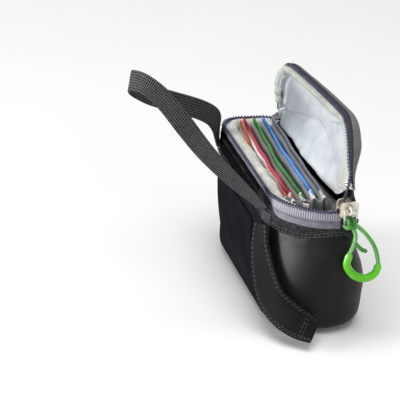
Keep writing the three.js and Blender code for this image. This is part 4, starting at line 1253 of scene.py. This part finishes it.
def body_lining():
    ways, marks = all_round(step=1.5)
    points = np.vstack([wall(marks, offset, z) for offset, z, _ in LINING_SECTION])
    offsets, heights, puff = np.array(LINING_SECTION, float).T
    puff = puff[:, None]
    at_top = smoothstep(heights, 44, 58)[:, None]
    at_back = ((marks >= FAR_BACK + 0.4) | (marks < 1)) * (1 - smoothstep(near_angle(marks), 100, 135))
    creases = ripples(ways[None] / 5.5, heights[:, None] / 14, seed=51)
    folds = ripples(ways[None] / 17, heights[:, None] / 25, seed=52)
    push = (0.5 * creases + 0.35 * folds - 0.3) * (0.35 + 0.65 * at_top)
    push = push * smoothstep(offsets, -0.8, -2.2)[:, None]
    ease = smoothstep(np.minimum(ways, ROUND - ways), 0, 6)
    push = push * ease[None] - BACK_PUFF * puff * at_back[None]
    points = points + wall_normals(marks, heights) * push[:, :, None]
    points[:, :, 2] += 0.35 * at_top * ease * puff * ripples(ways[None] / 7, heights[:, None] / 9, seed=53)
    points[:, :, 2] -= lining_slump(marks)[None] * smoothstep(heights, 44, 61)[:, None]
    floor = points[-1]
    middle = floor.mean(0)
    inner = [middle + (floor - middle) * share for share in (0.7, 0.35, 0.03)]
    points = np.vstack([points, np.array(inner)])
    depth = lengths_along(points[:, 0])
    places = np.stack(np.broadcast_arrays(ways[None], depth[:, None]), -1)
    obj = sheet("body_lining_soft", points[::-1], closed=True, unfolded=places[::-1], cap="first")
    dress_cloth(obj, 0.7, BODY_LINING, "pouch", ["body_lining", "body_foam"], offset=1.0)


body_lining()

# Pocket dividers: felt panels bound along their tops, which lie lower towards the near end
DIVIDERS = {
    "orange": dict(y=17.8, near=3.5, far=-3.5, bow=0.2, drop=5.2, fall=0.5, sag=4.8, seed=61),
    "red": dict(y=15.2, near=0, far=0, bow=1.3, drop=4.6, fall=0.75, sag=0, seed=62),
    "green": dict(y=10.3, near=0, far=0, bow=1.3, drop=4.6, fall=1.0, sag=0, seed=63),
    "blue": dict(y=5.4, near=0, far=0, bow=0.9, drop=3.3, fall=1.3, sag=0, seed=64),
    "grey": dict(y=0.5, near=0, far=0, bow=0.9, drop=3.3, fall=1.3, sag=0, seed=65),
}
DIVIDER_COLUMNS = 60
DIVIDER_ROWS = 18
TRIM_HEIGHT = 1.9
TRIM_THICKNESS = 0.8
# Section of the binding: shares of half its thickness, and heights below its crest
TRIM_SECTION = [
    (-1, -TRIM_HEIGHT), (-1, -1.2), (-0.85, -0.4), (-0.4, -0.05),
    (0.4, -0.05), (0.85, -0.4), (1, -1.2), (1, -TRIM_HEIGHT),
]
# Section of the pale edging at the near end, across the divider and below its crest
END_SECTION = [(-1.1, -5.6), (-1.3, -3.0), (-1.0, -0.9), (0, 0.1), (1.0, -0.9), (1.3, -3.0), (1.1, -5.6)]
END_HEIGHT = 62


def divider_ends(spec):
    return DIVIDER_NEAR_X + spec["near"], DIVIDER_FAR_X + spec["far"]


def divider_share(spec, x):
    """How far along a divider a place is, from its far end to its near one."""
    near, far = divider_ends(spec)
    return np.clip((far - x) / (far - near), 0, 1)


def divider_line(spec, x, z):
    """Where a divider's middle lies across the case at a place along it and a height."""
    between = np.sin(math.pi * divider_share(spec, x))
    wave = 0.45 * ripples(x / 24, z / 60, spec["seed"])
    return spec["y"] + (spec["bow"] * between ** 0.8 + wave * between) * smoothstep(z, 14, 60)


def divider_top(spec, x):
    share = divider_share(spec, x)
    lower = spec["drop"] * share ** spec["fall"] + spec["sag"] * np.sin(math.pi * share)
    return DIVIDER_TOP - lower + 0.3 * ripples(x / 26, 0, spec["seed"] + 20)


def make_divider_panel(colour, spec):
    near, far = divider_ends(spec)
    x = np.linspace(near, far, DIVIDER_COLUMNS)
    tops = divider_top(spec, x) - 0.6
    rows = []
    for share in np.linspace(0, 1, DIVIDER_ROWS):
        z = DIVIDER_BOTTOM + (tops - DIVIDER_BOTTOM) * share
        rows.append(np.column_stack([x, divider_line(spec, x, z), z]))
    below_top = np.linspace(DIVIDER_BOTTOM - DIVIDER_TOP, 0, DIVIDER_ROWS)
    panel = sheet(f"divider_panel_{colour}", np.array(rows), across=below_top)
    thicken(panel, 0.7, 0.0)
    dress(panel, FELT, "pouch", [f"divider_{colour}"])


def make_divider_trim(colour, spec):
    """The coloured binding over a divider's top, with its lower edges a little frayed."""
    x = np.linspace(*divider_ends(spec), DIVIDER_COLUMNS)
    crest = divider_top(spec, x) + 0.1
    rows = []
    for share, drop in TRIM_SECTION:
        across = share * TRIM_THICKNESS / 2
        fray = 0.12 * ripples(x / 5, across, spec["seed"] + 40)
        z = crest + drop + (fray if drop == -TRIM_HEIGHT else 0)
        rows.append(np.column_stack([x, divider_line(spec, x, z) + across, z]))
    trim = sheet(f"divider_binding_{colour}", np.array(rows))
    dress_cloth(trim, 0.25, TRIMS[colour], "pouch", [f"divider_trim_{colour}"], offset=1.0)


def make_divider_ends():
    """Crumpled pale edging over the top near corner of each full-length divider."""
    pieces = []
    for spec in DIVIDERS.values():
        if spec["near"]:
            continue
        x = np.linspace(DIVIDER_NEAR_X - 1.6, DIVIDER_NEAR_X + 4.2, 11)
        on_panel = np.maximum(x, DIVIDER_NEAR_X)
        top = divider_top(spec, on_panel) + 0.6 - 0.25 * (x[-1] - x)
        middle = divider_line(spec, on_panel, END_HEIGHT)
        rows = []
        for across, drop in END_SECTION:
            crumple = 0.55 * ripples(x / 3.2, drop / 3 + across, spec["seed"] + 60)
            rows.append(np.column_stack([x, middle + across + crumple * 0.5, top + drop + crumple]))
        pieces.append(sheet("end", np.array(rows)))
    obj = join_as("divider_end_bindings", pieces)
    dress_cloth(obj, 0.4, END_EDGE, "pouch")


for divider_colour, divider_spec in DIVIDERS.items():
    make_divider_panel(divider_colour, divider_spec)
    make_divider_trim(divider_colour, divider_spec)
make_divider_ends()


PLEAT_DEPTH = 3.6
FIRST_PLEAT = 0.3
GUSSET_TOP = 62.5


def make_gusset(name, side, node):
    """A pleated gusset at the dividers' near ends (side -1) or far ends (side 1)."""
    ends = []
    for spec in DIVIDERS.values():
        near, far = divider_ends(spec)
        ends.append((near - 0.3 if side < 0 else far + 0.3, spec["y"]))
    line = ends[:1]
    for i, (here, after) in enumerate(zip(ends, ends[1:])):
        fold = (np.array(here) + np.array(after)) / 2
        fold[0] += side * (FIRST_PLEAT if i == 0 else 1) * PLEAT_DEPTH
        line += [tuple(fold), after]
    plan = smooth_path(line, count=56)
    end_x, end_y = np.array(ends[::-1]).T
    base = np.interp(plan[:, 1], end_y, end_x)
    rows = []
    for z in np.linspace(WALL_FOOT, GUSSET_TOP, 14):
        fullness = 0.75 + 0.25 * smoothstep(z, 20, 55)
        x = base + (plan[:, 0] - base) * fullness
        wobble = 0.25 * ripples(plan[:, 1] / 6, z / 16, seed=71 + side)
        rows.append(np.column_stack([x + wobble, plan[:, 1], np.full(len(plan), z)]))
    obj = sheet(name, np.array(rows))
    dress_cloth(obj, 0.6, GUSSET, "pouch", [node], offset=0.0)


make_gusset("gusset_pleats_near", -1, "gusset_near")
make_gusset("gusset_pleats_far", 1, "gusset_far")


# The label's place: angles round the near arc, and heights
LABEL_FROM, LABEL_TO = 132, 146
LABEL_BOTTOM = 55.2
LABEL_HEIGHT = 6.4


def make_label():
    _, marks = span(arc_mark(NEAR_ARC, LABEL_FROM), arc_mark(NEAR_ARC, LABEL_TO), step=0.6)
    rows = []
    for share in np.linspace(0, 1, 8):
        offset = -6.6 - 0.5 * math.sin(math.pi * share)
        rows.append(wall(marks, offset, LABEL_BOTTOM + LABEL_HEIGHT * share)[0])
    obj = sheet("blank_label", np.array(rows))
    thicken(obj, 0.35)
    dress(obj, LABEL, "pouch", ["inner_label"])


make_label()

# Lid: drawn shut over the mouth, then turned open about its fold; near the slider the zip holds it back
FRONT_FROM = on_belt(MOUTH, FRONT)[0][0]
FRONT_TO = on_belt(MOUTH, FRONT + RUN_END)[0][0]
FOLD_WAY = np.array([*unit(FRONT_TO - FRONT_FROM), 0])
FOLD_IN = np.array([-FOLD_WAY[1], FOLD_WAY[0], 0])
FOLD_RADIUS = 0.9
FOLD_AT = np.array([*FRONT_FROM, ZIP_HEIGHT]) + FOLD_RADIUS * FOLD_IN
FOLD_LENGTH = float(np.linalg.norm(FRONT_TO - FRONT_FROM))
# How far each point of the lid is open: a start, a share for each millimetre along the fold and one for each
# millimetre of height. The lid is held back near the slider, where the zip is still shut.
HOLD_START = 0.52149
HOLD_ALONG = 0.00227
HOLD_RISE = 0.0066
HOLD_STEPS = 200


def from_fold(points):
    """How far points lie along the fold, in from it and above it."""
    place = points - FOLD_AT
    return place @ FOLD_WAY, place @ FOLD_IN, place[..., 2]


def lid_turns(points):
    """The turn of each point of the closed lid about the fold, fitted to the place it comes to."""
    u, v, h = from_fold(points.reshape(-1, 3))
    turn = np.full(len(u), math.radians(LID_OPEN))
    for _ in range(HOLD_STEPS):
        height = v * np.sin(turn) + h * np.cos(turn)
        wanted = math.radians(LID_OPEN) * smoothstep(HOLD_START + HOLD_ALONG * u + HOLD_RISE * height, 0, 1)
        turn = (turn + wanted) / 2
    return turn


def open_lid(points):
    """Points of the closed lid, turned open."""
    u, v, h = from_fold(points.reshape(-1, 3))
    turn = lid_turns(points)
    y = v * np.cos(turn) - h * np.sin(turn)
    z = v * np.sin(turn) + h * np.cos(turn)
    out = FOLD_AT + u[:, None] * FOLD_WAY + y[:, None] * FOLD_IN + z[:, None] * UP
    return out.reshape(points.shape)


def between_bodies(obj):
    """Bakes a piece's transform into its mesh."""
    bpy.context.view_layer.update()
    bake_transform(obj)


def hang_between(obj):
    """Bakes a piece's transform into its mesh, through between_bodies."""
    between_bodies(obj)


def on_lid(obj):
    """Bakes the transform of a lid piece, already turned open by open_lid, into its mesh."""
    between_bodies(obj)


LID_MIDDLE = np.array([0, BACK_Y - MOUTH_DEPTH_FAR / 2])
LID_FOOT = 1.0
FOLD_EASE = 16


def fold_drop(marks):
    """How much of its height the lid keeps: all of it, less towards the slider, little along the fold."""
    corner, fold = 0.18, 0.22
    keep = 1 - (1 - corner) * smoothstep(near_angle(marks), 140, 186)
    keep = np.where((marks >= 1) & (marks < FRONT), corner, keep)
    along = (marks - FRONT) * FOLD_LENGTH
    from_near = corner + (fold - corner) * smoothstep(along, 0, FOLD_EASE)
    from_far = 1 + (fold - 1) * smoothstep(FOLD_LENGTH - along, 0, FOLD_EASE)
    on_front = (marks >= FRONT) & (marks < FAR_FRONT)
    return np.where(on_front, np.where(along < FOLD_LENGTH / 2, from_near, from_far), keep)


def lid_edge(marks):
    """The mouth's outline as the lid has it, with the corner at the far end of the fold drawn out."""
    flat, normal = on_belt(MOUTH, marks)
    centre = MOUTH[FAR_FRONT][1]
    way = flat - centre
    drawn = np.abs(unit(way)).max(axis=1, keepdims=True) ** -0.8
    corner = ((marks >= FAR_FRONT) & (marks < FAR_FRONT + 1))[:, None]
    return np.where(corner, centre + way * drawn, flat), normal


def lid_level(height, keep):
    """Where a height of the closed lid comes to, when it keeps only part of it."""
    return ZIP_HEIGHT + LID_FOOT + (height - LID_FOOT) * keep


def lid_rings(marks, section):
    """Rings of the closed lid.

    Each has a scale about the lid's middle, an inset, a height and how much it drops at the fold.
    """
    flat, normal = lid_edge(marks)
    drop = fold_drop(marks)
    rows = []
    for scale, inset, height, dip in section:
        ring = (flat - normal * inset - LID_MIDDLE) * scale + LID_MIDDLE
        rows.append(np.column_stack([ring, lid_level(height, 1 - dip * (1 - drop))]))
    return np.array(rows)


CORNER_PINCH = 9
PINCH_LENGTH = 22
PINCH_SOFTNESS = 1.5


def draw_in(closed_points):
    """Draws the lid's corner by the slider in from the fold, where the zip still holds it."""
    along, across, _ = from_fold(closed_points)
    share = 1 - smoothstep(along, -4, PINCH_LENGTH)
    gap = across - CORNER_PINCH * share
    shift = (np.sqrt(gap ** 2 + PINCH_SOFTNESS ** 2) - gap) / 2 * share
    return closed_points + shift[..., None] * FOLD_IN


LID_SHELL_SECTION = [
    (1, -0.35, 3.0, 1), (1, -0.55, 3.6, 1), (1, -0.5, 4.6, 1), (1, 0.2, 6.4, 1),
    (1, 1.2, 7.7, 1), (1, 2.4, 8.5, 1), (0.97, 2.4, 9.0, 0.9), (0.88, 2.4, 9.4, 0.7),
    (0.74, 2.4, 9.6, 0.4), (0.55, 2.4, 9.6, 0.2), (0.3, 2.4, 9.6, 0), (0.04, 2.4, 9.6, 0),
]


def unfold_lid(marks, closed_points):
    """Texture places for the lid: flat on its top, with the sides folded out round it."""
    _, normal = on_belt(MOUTH, marks)
    top = closed_points[:, :, 2].max()
    flat = closed_points[:, :, :2] + normal[None] * (top - closed_points[:, :, 2:])
    flat = flat - FOLD_AT[:2]
    return np.stack([flat @ FOLD_WAY[:2], flat @ FOLD_IN[:2]], -1)


# The lid's lining as rings, and strips along its zip as insets and heights
LINING_SECTION_LID = [
    (1, 1.5, 3.4, 1), (1, 2.2, 2.9, 1), (1, 3.4, 3.1, 1), (1, 4.4, 3.9, 1),
    (1, 5.4, 5.0, 1), (0.95, 5.4, 5.7, 0.9), (0.87, 5.4, 6.1, 0.7), (0.75, 5.4, 6.2, 0.5),
    (0.6, 5.4, 6.1, 0.3), (0.42, 5.4, 6.0, 0.15), (0.22, 5.4, 6.0, 0.0), (0.04, 5.4, 6.0, 0.0),
]
BINDING_SECTION = [(1.0, 3.1), (1.2, 1.9), (2.2, 1.15), (3.5, 1.3), (4.7, 2.3), (5.4, 3.7)]
INNER_TAPE_SECTION = [(0.9, 2.3), (1.25, 3.2), (1.5, 4.4), (1.75, 5.6), (1.9, 6.6)]
OUTER_TAPE_SECTION = [(0.1, 2.4), (-0.1, 2.9), (-0.35, 3.4), (-0.3, 4.0)]
HINGE_ROLL = 6.5
ROLL_FROM_FOLD = 4.5
ROLL_WIDTH = 4.2
EDGE_CLOTH = 0.5
MEETING_FROM = 165
MEETING_TO = 182


def lid_recess(ways):
    """How far the lid's lining and its edging sink in along the back; at the far end they stand out."""
    from_far = (ways - way_of(FAR_FRONT)) % ROUND
    proud = smoothstep(from_far, 12, 22) * (1 - smoothstep(from_far, 26, 42))
    sunk = smoothstep(from_far, 32, 50) * (1 - smoothstep(from_far, 60, 115))
    return 2.0 * sunk - 1.2 * proud


def hinge_roll(closed_points):
    """How far the lid's lining sags past the zip's plane in a soft roll along the fold."""
    along, across, _ = from_fold(closed_points)
    sag = smoothstep(along, -10, 3) * (1 - 0.3 * smoothstep(along, 46, 70)) * (1 - smoothstep(along, 84, 98))
    return HINGE_ROLL * np.exp(-((across - ROLL_FROM_FOLD) / ROLL_WIDTH) ** 2) * sag


def lid_tape(name, section, mark_from, stands_for=()):
    """A strip of tape along the lid's zip, from the inside out: its section is insets and heights."""
    ways, marks = span(mark_from, arc_mark(NEAR_ARC, LID_COIL_END), step=1.2)
    flat, normal = lid_edge(marks)
    keep = fold_drop(marks)
    rows = [np.column_stack([flat - normal * inset, lid_level(height, keep)]) for inset, height in section]
    strip = sheet(name, open_lid(np.array(rows)), along=ways)
    thicken(strip, 0.4, 0.0)
    dress(strip, TAPE_DARK, None, stands_for)
    on_lid(strip)


def lid_row(marks, offset, height):
    return open_lid(by_mouth(marks, offset, ZIP_HEIGHT + ROW_FROM_PLANE + height))


def make_lid_coil():
    wound = coil("zip_coil_lid_wound", FAR_BACK, arc_mark(NEAR_ARC, MEETING_FROM), lid_row)
    dress(wound, COIL, None, ["zip_coil_lid"])
    on_lid(wound)


def make_meeting_coil():
    """The last teeth of the lid's row, which run down from the open lid into the slider."""
    closed = by_mouth([arc_mark(NEAR_ARC, MEETING_FROM)], COIL_CENTRE, ZIP_HEIGHT + ROW_FROM_PLANE)
    top = open_lid(closed)[0]
    low = by_mouth([arc_mark(NEAR_ARC, MEETING_TO)], COIL_CENTRE, ZIP_HEIGHT + 1.6)[0]
    turns = float(np.linalg.norm(low - top)) / COIL_PITCH
    share = np.linspace(0, 1, round(turns * WIRE_POINTS))[:, None]
    bow = 0.9 * np.sin(math.pi * share) * -FOLD_WAY
    line = top * (1 - share) + low * share + bow
    way = unit(low - top)
    side = unit(np.cross(way, FOLD_WAY))
    angle = 2 * math.pi * turns * share
    points = line + COIL_REACH * (np.sin(angle) * side + np.cos(angle) * np.cross(way, side))
    wound = wire_and_core("zip_coil_lid_meeting", points, line)
    dress(wound, COIL, None)
    hang_between(wound)


def make_lid_cloth(marks):
    shell = draw_in(lid_rings(marks, LID_SHELL_SECTION))
    rank = np.arange(len(LID_SHELL_SECTION))[:, None]
    waves = 0.35 * ripples(shell[:, :, 0] / 30, shell[:, :, 1] / 30, seed=81)
    shell[:, :, 2] += waves * smoothstep(rank, 1, 6)
    obj = sheet("lid_cloth_soft", open_lid(shell), closed=True, unfolded=unfold_lid(marks, shell), cap="last")
    dress_cloth(obj, BAND_CLOTH, LID_CLOTH, None, ["lid_shell", "lid_foam"])
    on_lid(obj)


def make_lid_lining(ways, marks):
    lining = draw_in(lid_rings(marks, LINING_SECTION_LID))
    rank = np.arange(len(LINING_SECTION_LID))[:, None]
    lining[:, :, 2] += lid_recess(ways)[None] * (1 - smoothstep(rank, 2, 5))
    lining[:, :, 2] -= hinge_roll(lining) * smoothstep(rank, 0, 3)
    held = np.zeros(lining.shape[:2], bool)
    held[:3] = True
    quads, _ = grid_faces(*lining.shape[:2], closed=True)
    lining = settle(lining, quads[:, ::-1], held, pressure=0.5, slack=0.012, reach=1.6)
    x, y = lining[:, :, 0], lining[:, :, 1]
    waves = 0.22 * ripples(x / 11, y / 11, seed=83) + 0.4 * ripples(x / 28, y / 28, seed=84)
    lining[:, :, 2] += waves * smoothstep(rank, 1, 4)
    places = unfold_lid(marks, lining)
    obj = sheet("lid_lining_soft", open_lid(lining)[::-1], closed=True, unfolded=places[::-1], cap="first")
    dress_cloth(obj, EDGE_CLOTH, LID_LINING, None, ["lid_lining"], offset=1.0)
    on_lid(obj)


def make_lid_binding():
    """The gathered pale edging of the lid's lining: loose at the far end, drawn flat along the zip."""
    ways, marks = span(FAR_END, arc_mark(NEAR_ARC, LID_COIL_END), step=0.8)
    flat, normal = lid_edge(marks)
    share = (ways - ways[0]) / (ways[-1] - ways[0])
    loose = 0.3 + 0.7 * (1 - smoothstep(share, 0.08, 0.22))
    recess = lid_recess(ways)
    slim = 1 - 0.45 * smoothstep(share, 0.6, 0.8)
    keep = fold_drop(marks)
    rows = []
    for k, (inset, height) in enumerate(BINDING_SECTION):
        gather = loose * ripples(ways / 3.6, k / 4, seed=91)
        creep = 0.5 * loose * ripples(ways / 7, k / 4, seed=92)
        inset = 1.0 + (inset - 1.0) * slim + 0.4 * np.maximum(recess, 0) + 1.5 * np.minimum(recess, 0)
        ring = flat - normal * (inset + creep * (k > 0))[:, None]
        rise = height + recess * (1 - 0.1 * k) + gather * (0.25 + 0.15 * k) * (k > 0)
        rows.append(np.column_stack([ring, lid_level(rise, keep)]))
    binding = sheet("lid_binding_gathered", open_lid(np.array(rows)[::-1]), along=ways)
    dress_cloth(binding, EDGE_CLOTH, LINING_EDGE, None, ["lid_binding"], offset=1.0)
    on_lid(binding)


def make_corner_cloth(name, mark_from, mark_to, material):
    """Cloth that joins the front edge to the lid at a corner of the fold."""
    _, marks = span(mark_from, mark_to, step=1.0)
    closed = draw_in(lid_rings(marks, LID_SHELL_SECTION[:1]))
    outer = wall(marks, 0, ZIP_HEIGHT - 1.5)[0]
    inner = open_lid(closed)[0]
    share = np.linspace(0, 1, 7)[:, None, None]
    obj = sheet(name, outer * (1 - share) + inner * share)
    dress_cloth(obj, EDGE_CLOTH, material, None)
    hang_between(obj)


FAR_CORNER_LENGTH = 8


def make_lid():
    ways, marks = all_round(step=2.0)
    make_lid_cloth(marks)
    make_lid_lining(ways, marks)
    make_lid_binding()
    make_lid_coil()
    make_meeting_coil()
    near_end = FRONT + PINCH_LENGTH / FOLD_LENGTH
    far_start = FRONT + 1 - FAR_CORNER_LENGTH / FOLD_LENGTH
    make_corner_cloth("corner_cloth", NEAR_FRONT + 0.2, near_end, BINDING_DARK)
    make_corner_cloth("far_corner_cloth", far_start, FAR_FRONT + 0.55, LID_CLOTH)
    lid_tape("zip_tape_lid_woven", OUTER_TAPE_SECTION, FAR_BACK, ["zip_tape_lid"])
    lid_tape("zip_tape_lid_inside", INNER_TAPE_SECTION, FAR_FRONT + 0.6)


make_lid()


def make_hinge_cloth():
    """The fold the lid turns on: a strip of cloth rolled over the front edge."""
    along = np.linspace(PINCH_LENGTH - 6, FOLD_LENGTH - 1.5, 60)
    radius = FOLD_RADIUS + 0.15
    rows = []
    for angle in np.radians(np.linspace(-150, 150, 12)):
        wave = 0.12 * ripples(along / 11, angle, seed=95)
        out = -FOLD_IN * math.cos(angle) + UP * math.sin(angle)
        rows.append(FOLD_AT + along[:, None] * FOLD_WAY + (radius + wave)[:, None] * out)
    obj = sheet("hinge_fold_cloth", np.array(rows))
    dress_cloth(obj, EDGE_CLOTH, BINDING_DARK, "lid", ["lid_hinge_fold"])


make_hinge_cloth()


# Flat strips of webbing and cloth along a path, with a direction across at each point
def ribbon(name, centre, across, width, section):
    """A strip of given section: shares of the half width, and heights off the middle."""
    heading = unit(np.gradient(centre, axis=0))
    across = unit(across - heading * np.sum(across * heading, axis=1, keepdims=True))
    out = np.cross(heading, across)
    rings = np.array([centre + across * (width / 2 * a) + out * h for a, h in section]).transpose(1, 0, 2)
    edge = np.array([a for a, _ in section + section[:1]]) * width / 2
    faces, uvs = ring_faces(len(centre), len(section), lengths_along(centre), edge)
    return make_object(name, rings.reshape(-1, 3), faces, uvs), across, out


def strip_section(half_thickness, columns):
    """A thin section with soft edges, walked round once."""
    top = [(a, half_thickness) for a in np.linspace(-0.94, 0.94, columns)]
    low = [(a, -half_thickness) for a in np.linspace(0.94, -0.94, columns)]
    return [(-1, 0)] + top + [(1, 0)] + low


# The strap's way from patch to patch: shares of the case's half width, of the strap's reach and of its rise
STRAP_SHARES = [
    (-0.43, 0.44, 0.42), (-0.3, 0.81, 0.88), (-0.21, 0.94, 0.97), (-0.05, 1, 0.94), (0.125, 0.94, 0.83),
    (0.27, 0.76, 0.68), (0.625, 0.13, 0.315),
]
# Where its face looks: shares of its length, and directions there
STRAP_FACING = [
    (0, -0.12, 1, 0), (0.12, -0.6, 0.8, 0), (0.3, -0.95, 0.3, 0), (0.45, -0.7, 0.7, 0.2), (0.5, -0.1, 1, 0.3),
    (0.56, 0.6, 0.8, 0.2), (0.68, 0.9, 0.4, 0), (0.9, 0.75, 0.65, 0), (1, 0.26, 0.96, 0),
]
# Angles round the two arcs of the mouth at which the strap is sewn on
STRAP_NEAR, STRAP_FAR = 98, 75
STRAP_OFFSET = 1.7
STRIP_HALF = 0.6
STRIP_COLUMNS = 9


def make_strap():
    near = wall([arc_mark(NEAR_ARC, STRAP_NEAR)], STRAP_OFFSET, STRAP_FOOT)[0, 0]
    far = wall([arc_mark(FAR_BACK, STRAP_FAR)], STRAP_OFFSET, STRAP_FOOT)[0, 0]
    middle = [(along * FAR_X, near[1] + reach * STRAP_REACH, STRAP_FOOT + rise * STRAP_RISE)
              for along, reach, rise in STRAP_SHARES]
    centre = smooth_path([near, *middle, far], count=220)
    stops = np.array(STRAP_FACING)
    facing = read_between(np.linspace(0, 1, len(centre)), stops[:, 0], stops[:, 1:])
    across = np.cross(facing, unit(np.gradient(centre, axis=0)))
    section = strip_section(STRIP_HALF, STRIP_COLUMNS)
    obj, _, _ = ribbon("strap_webbing", centre, across, STRAP_WIDTH, section)
    soften(obj)
    dress(obj, WEBBING, "strap", ["hanging_strap"])


make_strap()


# The strap's patches: which arc of the mouth each is on, and its angles there
ANCHORS = [("near", NEAR_ARC, 91, 109), ("far", FAR_BACK, 52, 90)]
ANCHOR_OFFSET = 1.35
ANCHOR_STITCH_OFFSET = 1.42


def make_anchors():
    """The strap's patches, each sewn on along its top, its bottom and a cross."""
    rows = []
    heights = np.linspace(RIM_BOTTOM + 0.1, RIM_TOP + 0.2, 7)
    for name, run, first, last in ANCHORS:
        ways, marks = span(arc_mark(run, first), arc_mark(run, last), step=0.7)
        points = wall(marks, ANCHOR_OFFSET, heights)
        obj = sheet(f"strap_patch_{name}", points, along=ways, across=heights)
        dress_cloth(obj, 1.0, WEBBING, "pouch", [f"strap_anchor_{name}"])
        sewn = marks[2:-2]
        rising = np.linspace(RIM_BOTTOM + 0.9, RIM_TOP - 0.8, len(sewn))
        bottom, top = np.full_like(rising, rising[0]), np.full_like(rising, rising[-1])
        for line in (bottom, top, rising[::-1], rising):
            points = np.array([wall([mark], ANCHOR_STITCH_OFFSET, z)[0, 0] for mark, z in zip(sewn, line)])
            normals = np.array([wall_normals([mark], z)[0, 0] for mark, z in zip(sewn, line)])
            rows.append((points, normals))
    obj = stitch_rows("anchor_stitches", rows, length=1.1, gap=0.5, radius=0.18)
    dress(obj, THREAD, "pouch")


make_anchors()

# The flap's middle from its sewn end to its free one, and the direction across it at each place
FLAP_POINTS = [
    ((-34, 27.1, 47.2), (-1, 0, 0)),
    ((-37.5, 28, 38), (-0.95, -0.2, 0.2)),
    ((-44.5, 27, 26), (-0.82, -0.5, 0.3)),
    ((-51.5, 24, 16), (-0.45, -0.65, 0.6)),
    ((-59.5, 16.5, 9.6), (0.25, -0.78, 0.57)),
    ((-64.5, 6.5, 5.2), (0.82, -0.3, 0.35)),
]
FLAP_STEPS = 90
FLAP_STITCH_LIFT = 0.62
ACROSS_WEIGHT = 8
PILE_FROM, PILE_TO = 0.74, 0.95
PILE_WIDTH = 10
PILE_DROP = 1.25


def make_flap_stitches(centre, across, out):
    """Two rows along each hem and two across the free end, on both faces."""
    rows = []
    for face in (1, -1):
        lift = out * (FLAP_STITCH_LIFT * face)
        for share in (0.86, 0.74, -0.74, -0.86):
            rows.append((centre + across * (share * FLAP_WIDTH / 2) + lift, out * face))
        for back in (9, 11):
            t = np.linspace(-0.84, 0.84, 20)[:, None]
            line = centre[-back] + across[-back] * t * FLAP_WIDTH / 2 + lift[-back]
            rows.append((line, np.repeat(out[-back:-back + 1] * face, len(t), 0)))
    stitches = stitch_rows("flap_stitches", rows, length=1.5, gap=0.7, radius=0.17)
    dress(stitches, THREAD_DARK, "flap")


def make_flap():
    places = np.array([place for place, _ in FLAP_POINTS], float)
    sides = np.array([side for _, side in FLAP_POINTS], float)
    both = smooth_path(np.hstack([places, sides * ACROSS_WEIGHT]), FLAP_STEPS)
    centre, across = both[:, :3], both[:, 3:]
    section = strip_section(STRIP_HALF, STRIP_COLUMNS)
    obj, across, out = ribbon("flap_cloth_strip", centre, across, FLAP_WIDTH, section)
    soften(obj)
    dress(obj, FLAP, "flap", ["rear_flap"])
    make_flap_stitches(centre, across, out)

    pile = slice(round(PILE_FROM * FLAP_STEPS), round(PILE_TO * FLAP_STEPS))
    under = centre[pile] - out[pile] * PILE_DROP
    tape, _, _ = ribbon("flap_hook_pile", under, across[pile], PILE_WIDTH, strip_section(0.4, 7))
    soften(tape)
    dress(tape, HOOK, "flap", ["flap_hook_tape"])


make_flap()


def make_loop_patch():
    ways, marks = span(BACK + 0.3, BACK + 0.85, step=1.5)
    heights = np.linspace(16, 42, 14)
    points = wall(marks, 1.05 + SHELL_SWELL * 0.4, heights)
    obj = sheet("loop_pile_patch", points, along=ways, across=heights)
    dress_cloth(obj, 1.2, HOOK, "pouch", ["loop_patch"])


make_loop_patch()


# Floor and light, in metres
FLOOR_HALF = 6
FLOOR_DROP = -0.002
WORLD_LIGHT = 0.32
LIGHTS_AIM = np.array([0, 0, 0.05])


def make_stage():
    mesh = bpy.data.meshes.new("floor")
    corners = [(x * FLOOR_HALF, y * FLOOR_HALF, FLOOR_DROP) for x, y in ((-1, -1), (1, -1), (1, 1), (-1, 1))]
    mesh.from_pydata(corners, [], [(0, 1, 2, 3)])
    floor = add_object("floor", mesh)
    s = Shader("floor", 0.9, specular=0.1)
    s.colour(s.ramp(s.noise(3), [(0.3, "#f1f1f1"), (0.7, "#f6f6f6")]))
    floor.data.materials.append(s.material)

    world = bpy.data.worlds.new("studio")
    bpy.context.scene.world = world
    world.use_nodes = True
    background = world.node_tree.nodes["Background"]
    background.inputs["Color"].default_value = (1, 1, 1, 1)
    background.inputs["Strength"].default_value = WORLD_LIGHT
    bpy.context.scene.view_settings.view_transform = "Standard"


def area_light(name, at, size, power, gloss_only=False):
    data = bpy.data.lights.new(name, "AREA")
    data.shape = "RECTANGLE"
    data.size, data.size_y = size
    data.energy = power
    lamp = add_object(name, data)
    back = unit(np.array(at) - LIGHTS_AIM)
    right = unit(np.cross(UP, back))
    place_object(lamp, at, right, np.cross(back, right), back)
    lamp.visible_diffuse = not gloss_only


make_stage()
area_light("left_window", (0.1, 1.1, 0.3), (0.35, 0.6), 9)
area_light("left_strip", (0.2, 1.2, 0.2), (0.25, 0.5), 80, gloss_only=True)
area_light("top_panel", (-0.2, 0.1, 1.5), (1.2, 1.2), 17)
area_light("front_fill", (-1.3, -0.5, 0.7), (0.8, 0.8), 2.5)
